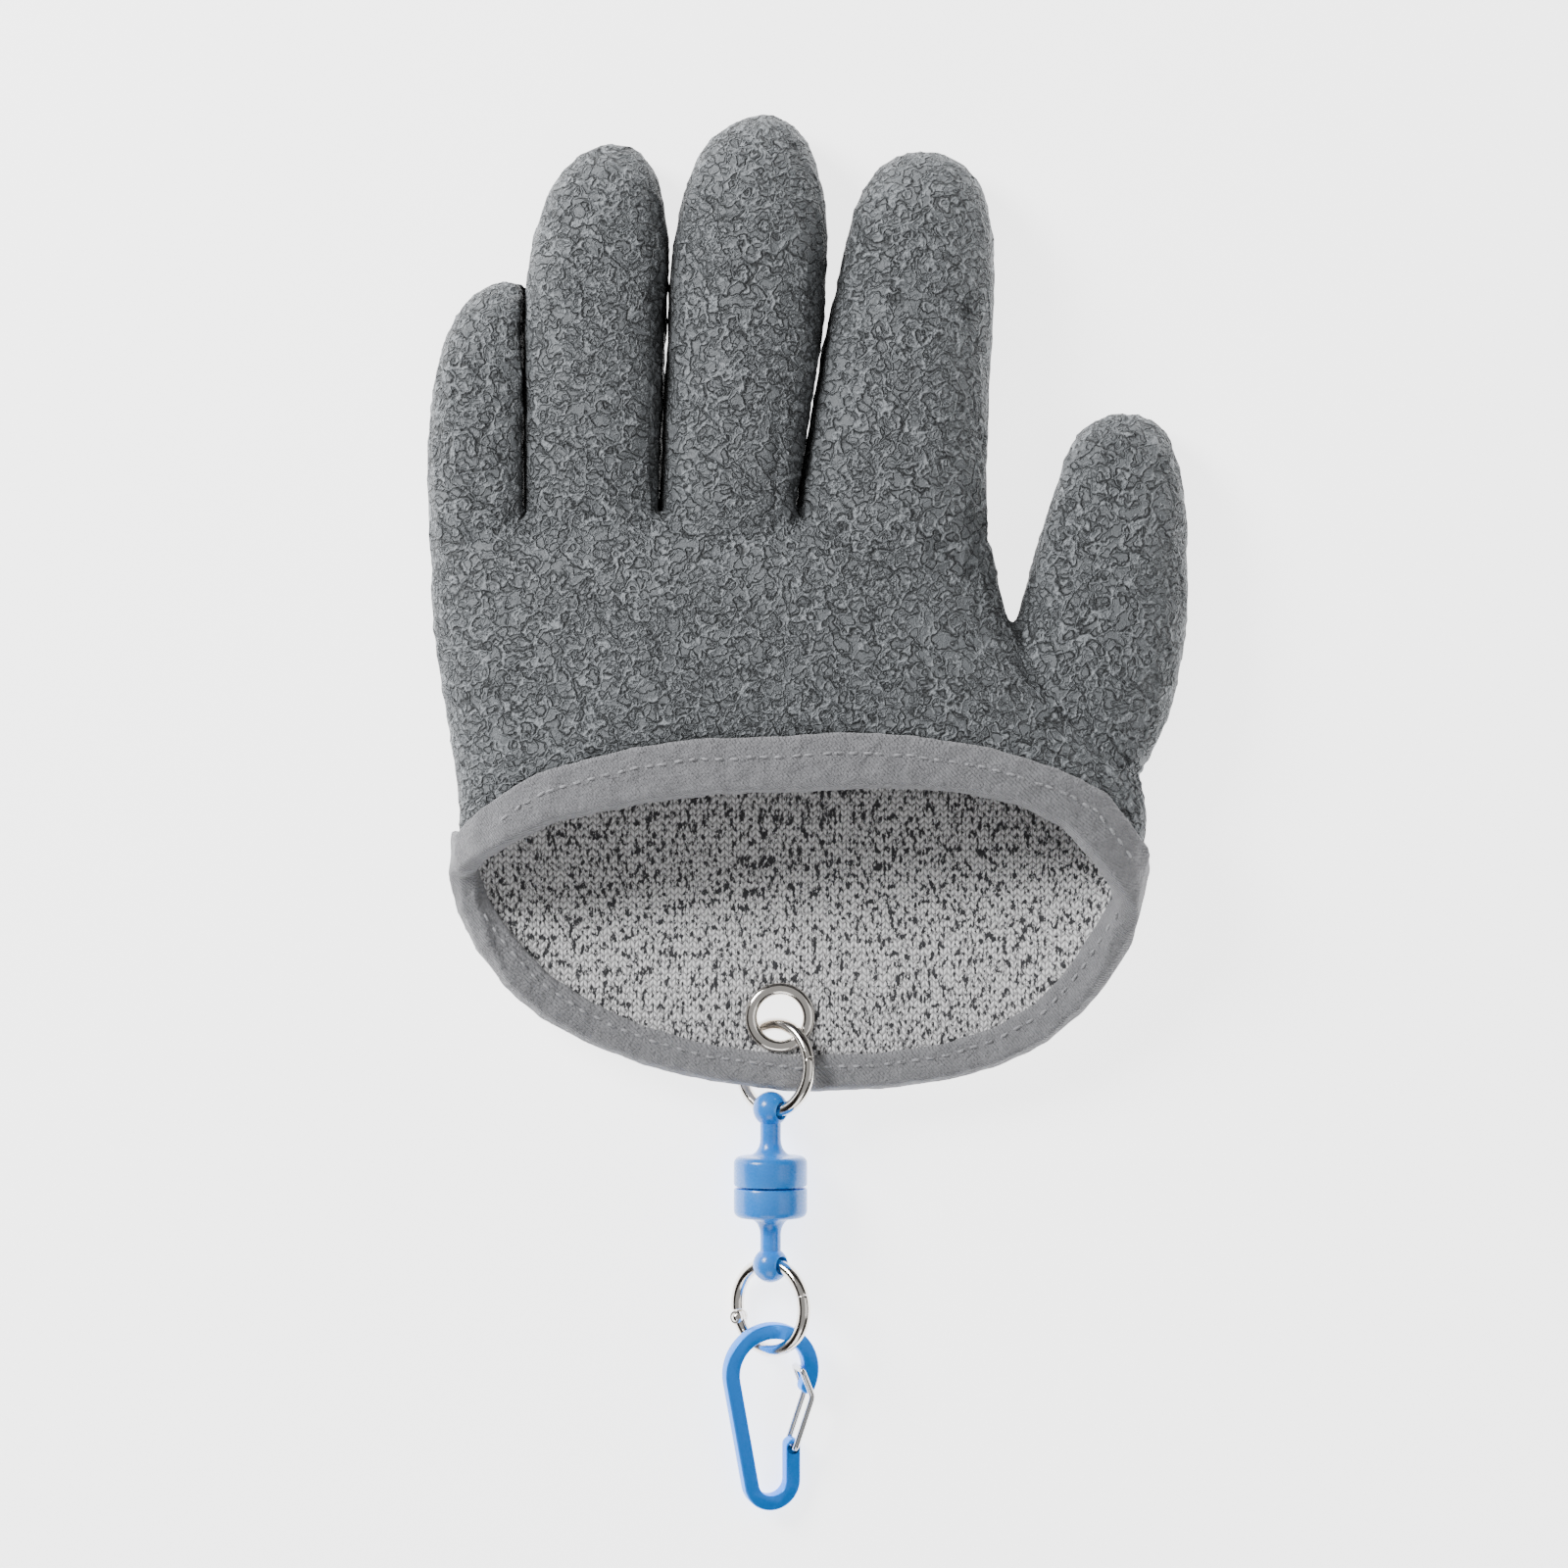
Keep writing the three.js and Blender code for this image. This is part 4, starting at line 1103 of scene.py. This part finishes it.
class GLOVE_OT_stage(bpy.types.Operator):
    """Sets the white surface, the studio's lights and the camera straight above"""

    bl_idname = "glove.stage"
    bl_label = "Stage"

    def execute(self, context):
        scene = context.scene
        n = Nodes("white_surface")
        speck = n.noise(n.millimetres(), 0.02, 3.0, 0.5)
        white = n.mix(speck, (0.93, 0.93, 0.93), (0.97, 0.97, 0.97))
        floor_look = n.finish(
            Base_Color=white, Roughness=0.9, Specular_IOR_Level=0.1,
            Emission_Color=(1, 1, 1, 1), Emission_Strength=SURFACE_GLOW,
        )
        bpy.ops.mesh.primitive_grid_add(x_subdivisions=8, y_subdivisions=8, size=SURFACE_SIZE)
        floor = context.view_layer.objects.active
        floor.name = "surface"
        floor.data.materials.append(floor_look)

        world = bpy.data.worlds.new("studio")
        world.use_nodes = True
        sky = world.node_tree.nodes
        backdrop = sky["Background"]
        backdrop.inputs["Strength"].default_value = SKY_STRENGTH
        rise = sky.new("ShaderNodeSeparateXYZ")
        bands = sky.new("ShaderNodeValToRGB")
        links = world.node_tree.links
        links.new(sky.new("ShaderNodeTexCoord").outputs["Generated"], rise.inputs[0])
        links.new(rise.outputs["Z"], bands.inputs[0])
        links.new(bands.outputs[0], backdrop.inputs["Color"])
        for end, place in zip(bands.color_ramp.elements, SKY_WHITE_ENDS):
            end.position = place
            end.color = SKY_WHITE
        for place in SKY_DARK_ENDS:
            bands.color_ramp.elements.new(place).color = SKY_DARK
        scene.world = world
        area_light("key", (-0.75, 0.55, 0.60), (0, 0, 0), 0.40, 17.0)
        area_light("fill", (0.70, -0.10, 0.70), (0, 0, 0), 0.70, 1.6)
        area_light("front", (-0.10, -0.75, 0.45), (0, -0.05, 0), 0.5, 2.0)

        lens = bpy.data.cameras.new("above")
        lens.lens = LENS_LENGTH
        lens.sensor_width = SENSOR_WIDTH
        lens.clip_start = 0.01
        lens.clip_end = 10
        camera = bpy.data.objects.new("above", lens)
        camera.location = CAMERA_PLACE
        scene.collection.objects.link(camera)
        scene.camera = camera
        return {"FINISHED"}


class GLOVE_PT_panel(bpy.types.Panel):
    """The glove's sizes, colours and building steps"""

    bl_idname = "GLOVE_PT_panel"
    bl_label = "Fishing Glove"
    bl_space_type = "VIEW_3D"
    bl_region_type = "UI"
    bl_category = "Glove"

    def draw(self, context):
        layout = self.layout
        for key in GloveSettings.__annotations__:
            layout.prop(context.scene.glove, key)
        for step in STEPS:
            layout.operator(step.bl_idname)


STEPS = (
    GLOVE_OT_coating,
    GLOVE_OT_lining,
    GLOVE_OT_binding,
    GLOVE_OT_eyelet,
    GLOVE_OT_rings,
    GLOVE_OT_magnet,
    GLOVE_OT_clip,
    GLOVE_OT_gate,
    GLOVE_OT_stage,
)
CLASSES = (GloveSettings, *STEPS, GLOVE_PT_panel)


def register():
    for made in CLASSES:
        bpy.utils.register_class(made)
    bpy.types.Scene.glove = PointerProperty(type=GloveSettings)


def unregister():
    del bpy.types.Scene.glove
    for made in reversed(CLASSES):
        bpy.utils.unregister_class(made)


def main():
    """Builds the whole glove."""
    register()
    bpy.ops.object.select_all(action="DESELECT")
    bpy.ops.glove.stage()
    bpy.ops.glove.coating()
    bpy.ops.glove.lining()
    bpy.ops.glove.binding()
    bpy.ops.glove.eyelet()
    bpy.ops.glove.rings()
    bpy.ops.glove.magnet()
    bpy.ops.glove.clip()
    bpy.ops.glove.gate()


if __name__ == "__main__":
    main()
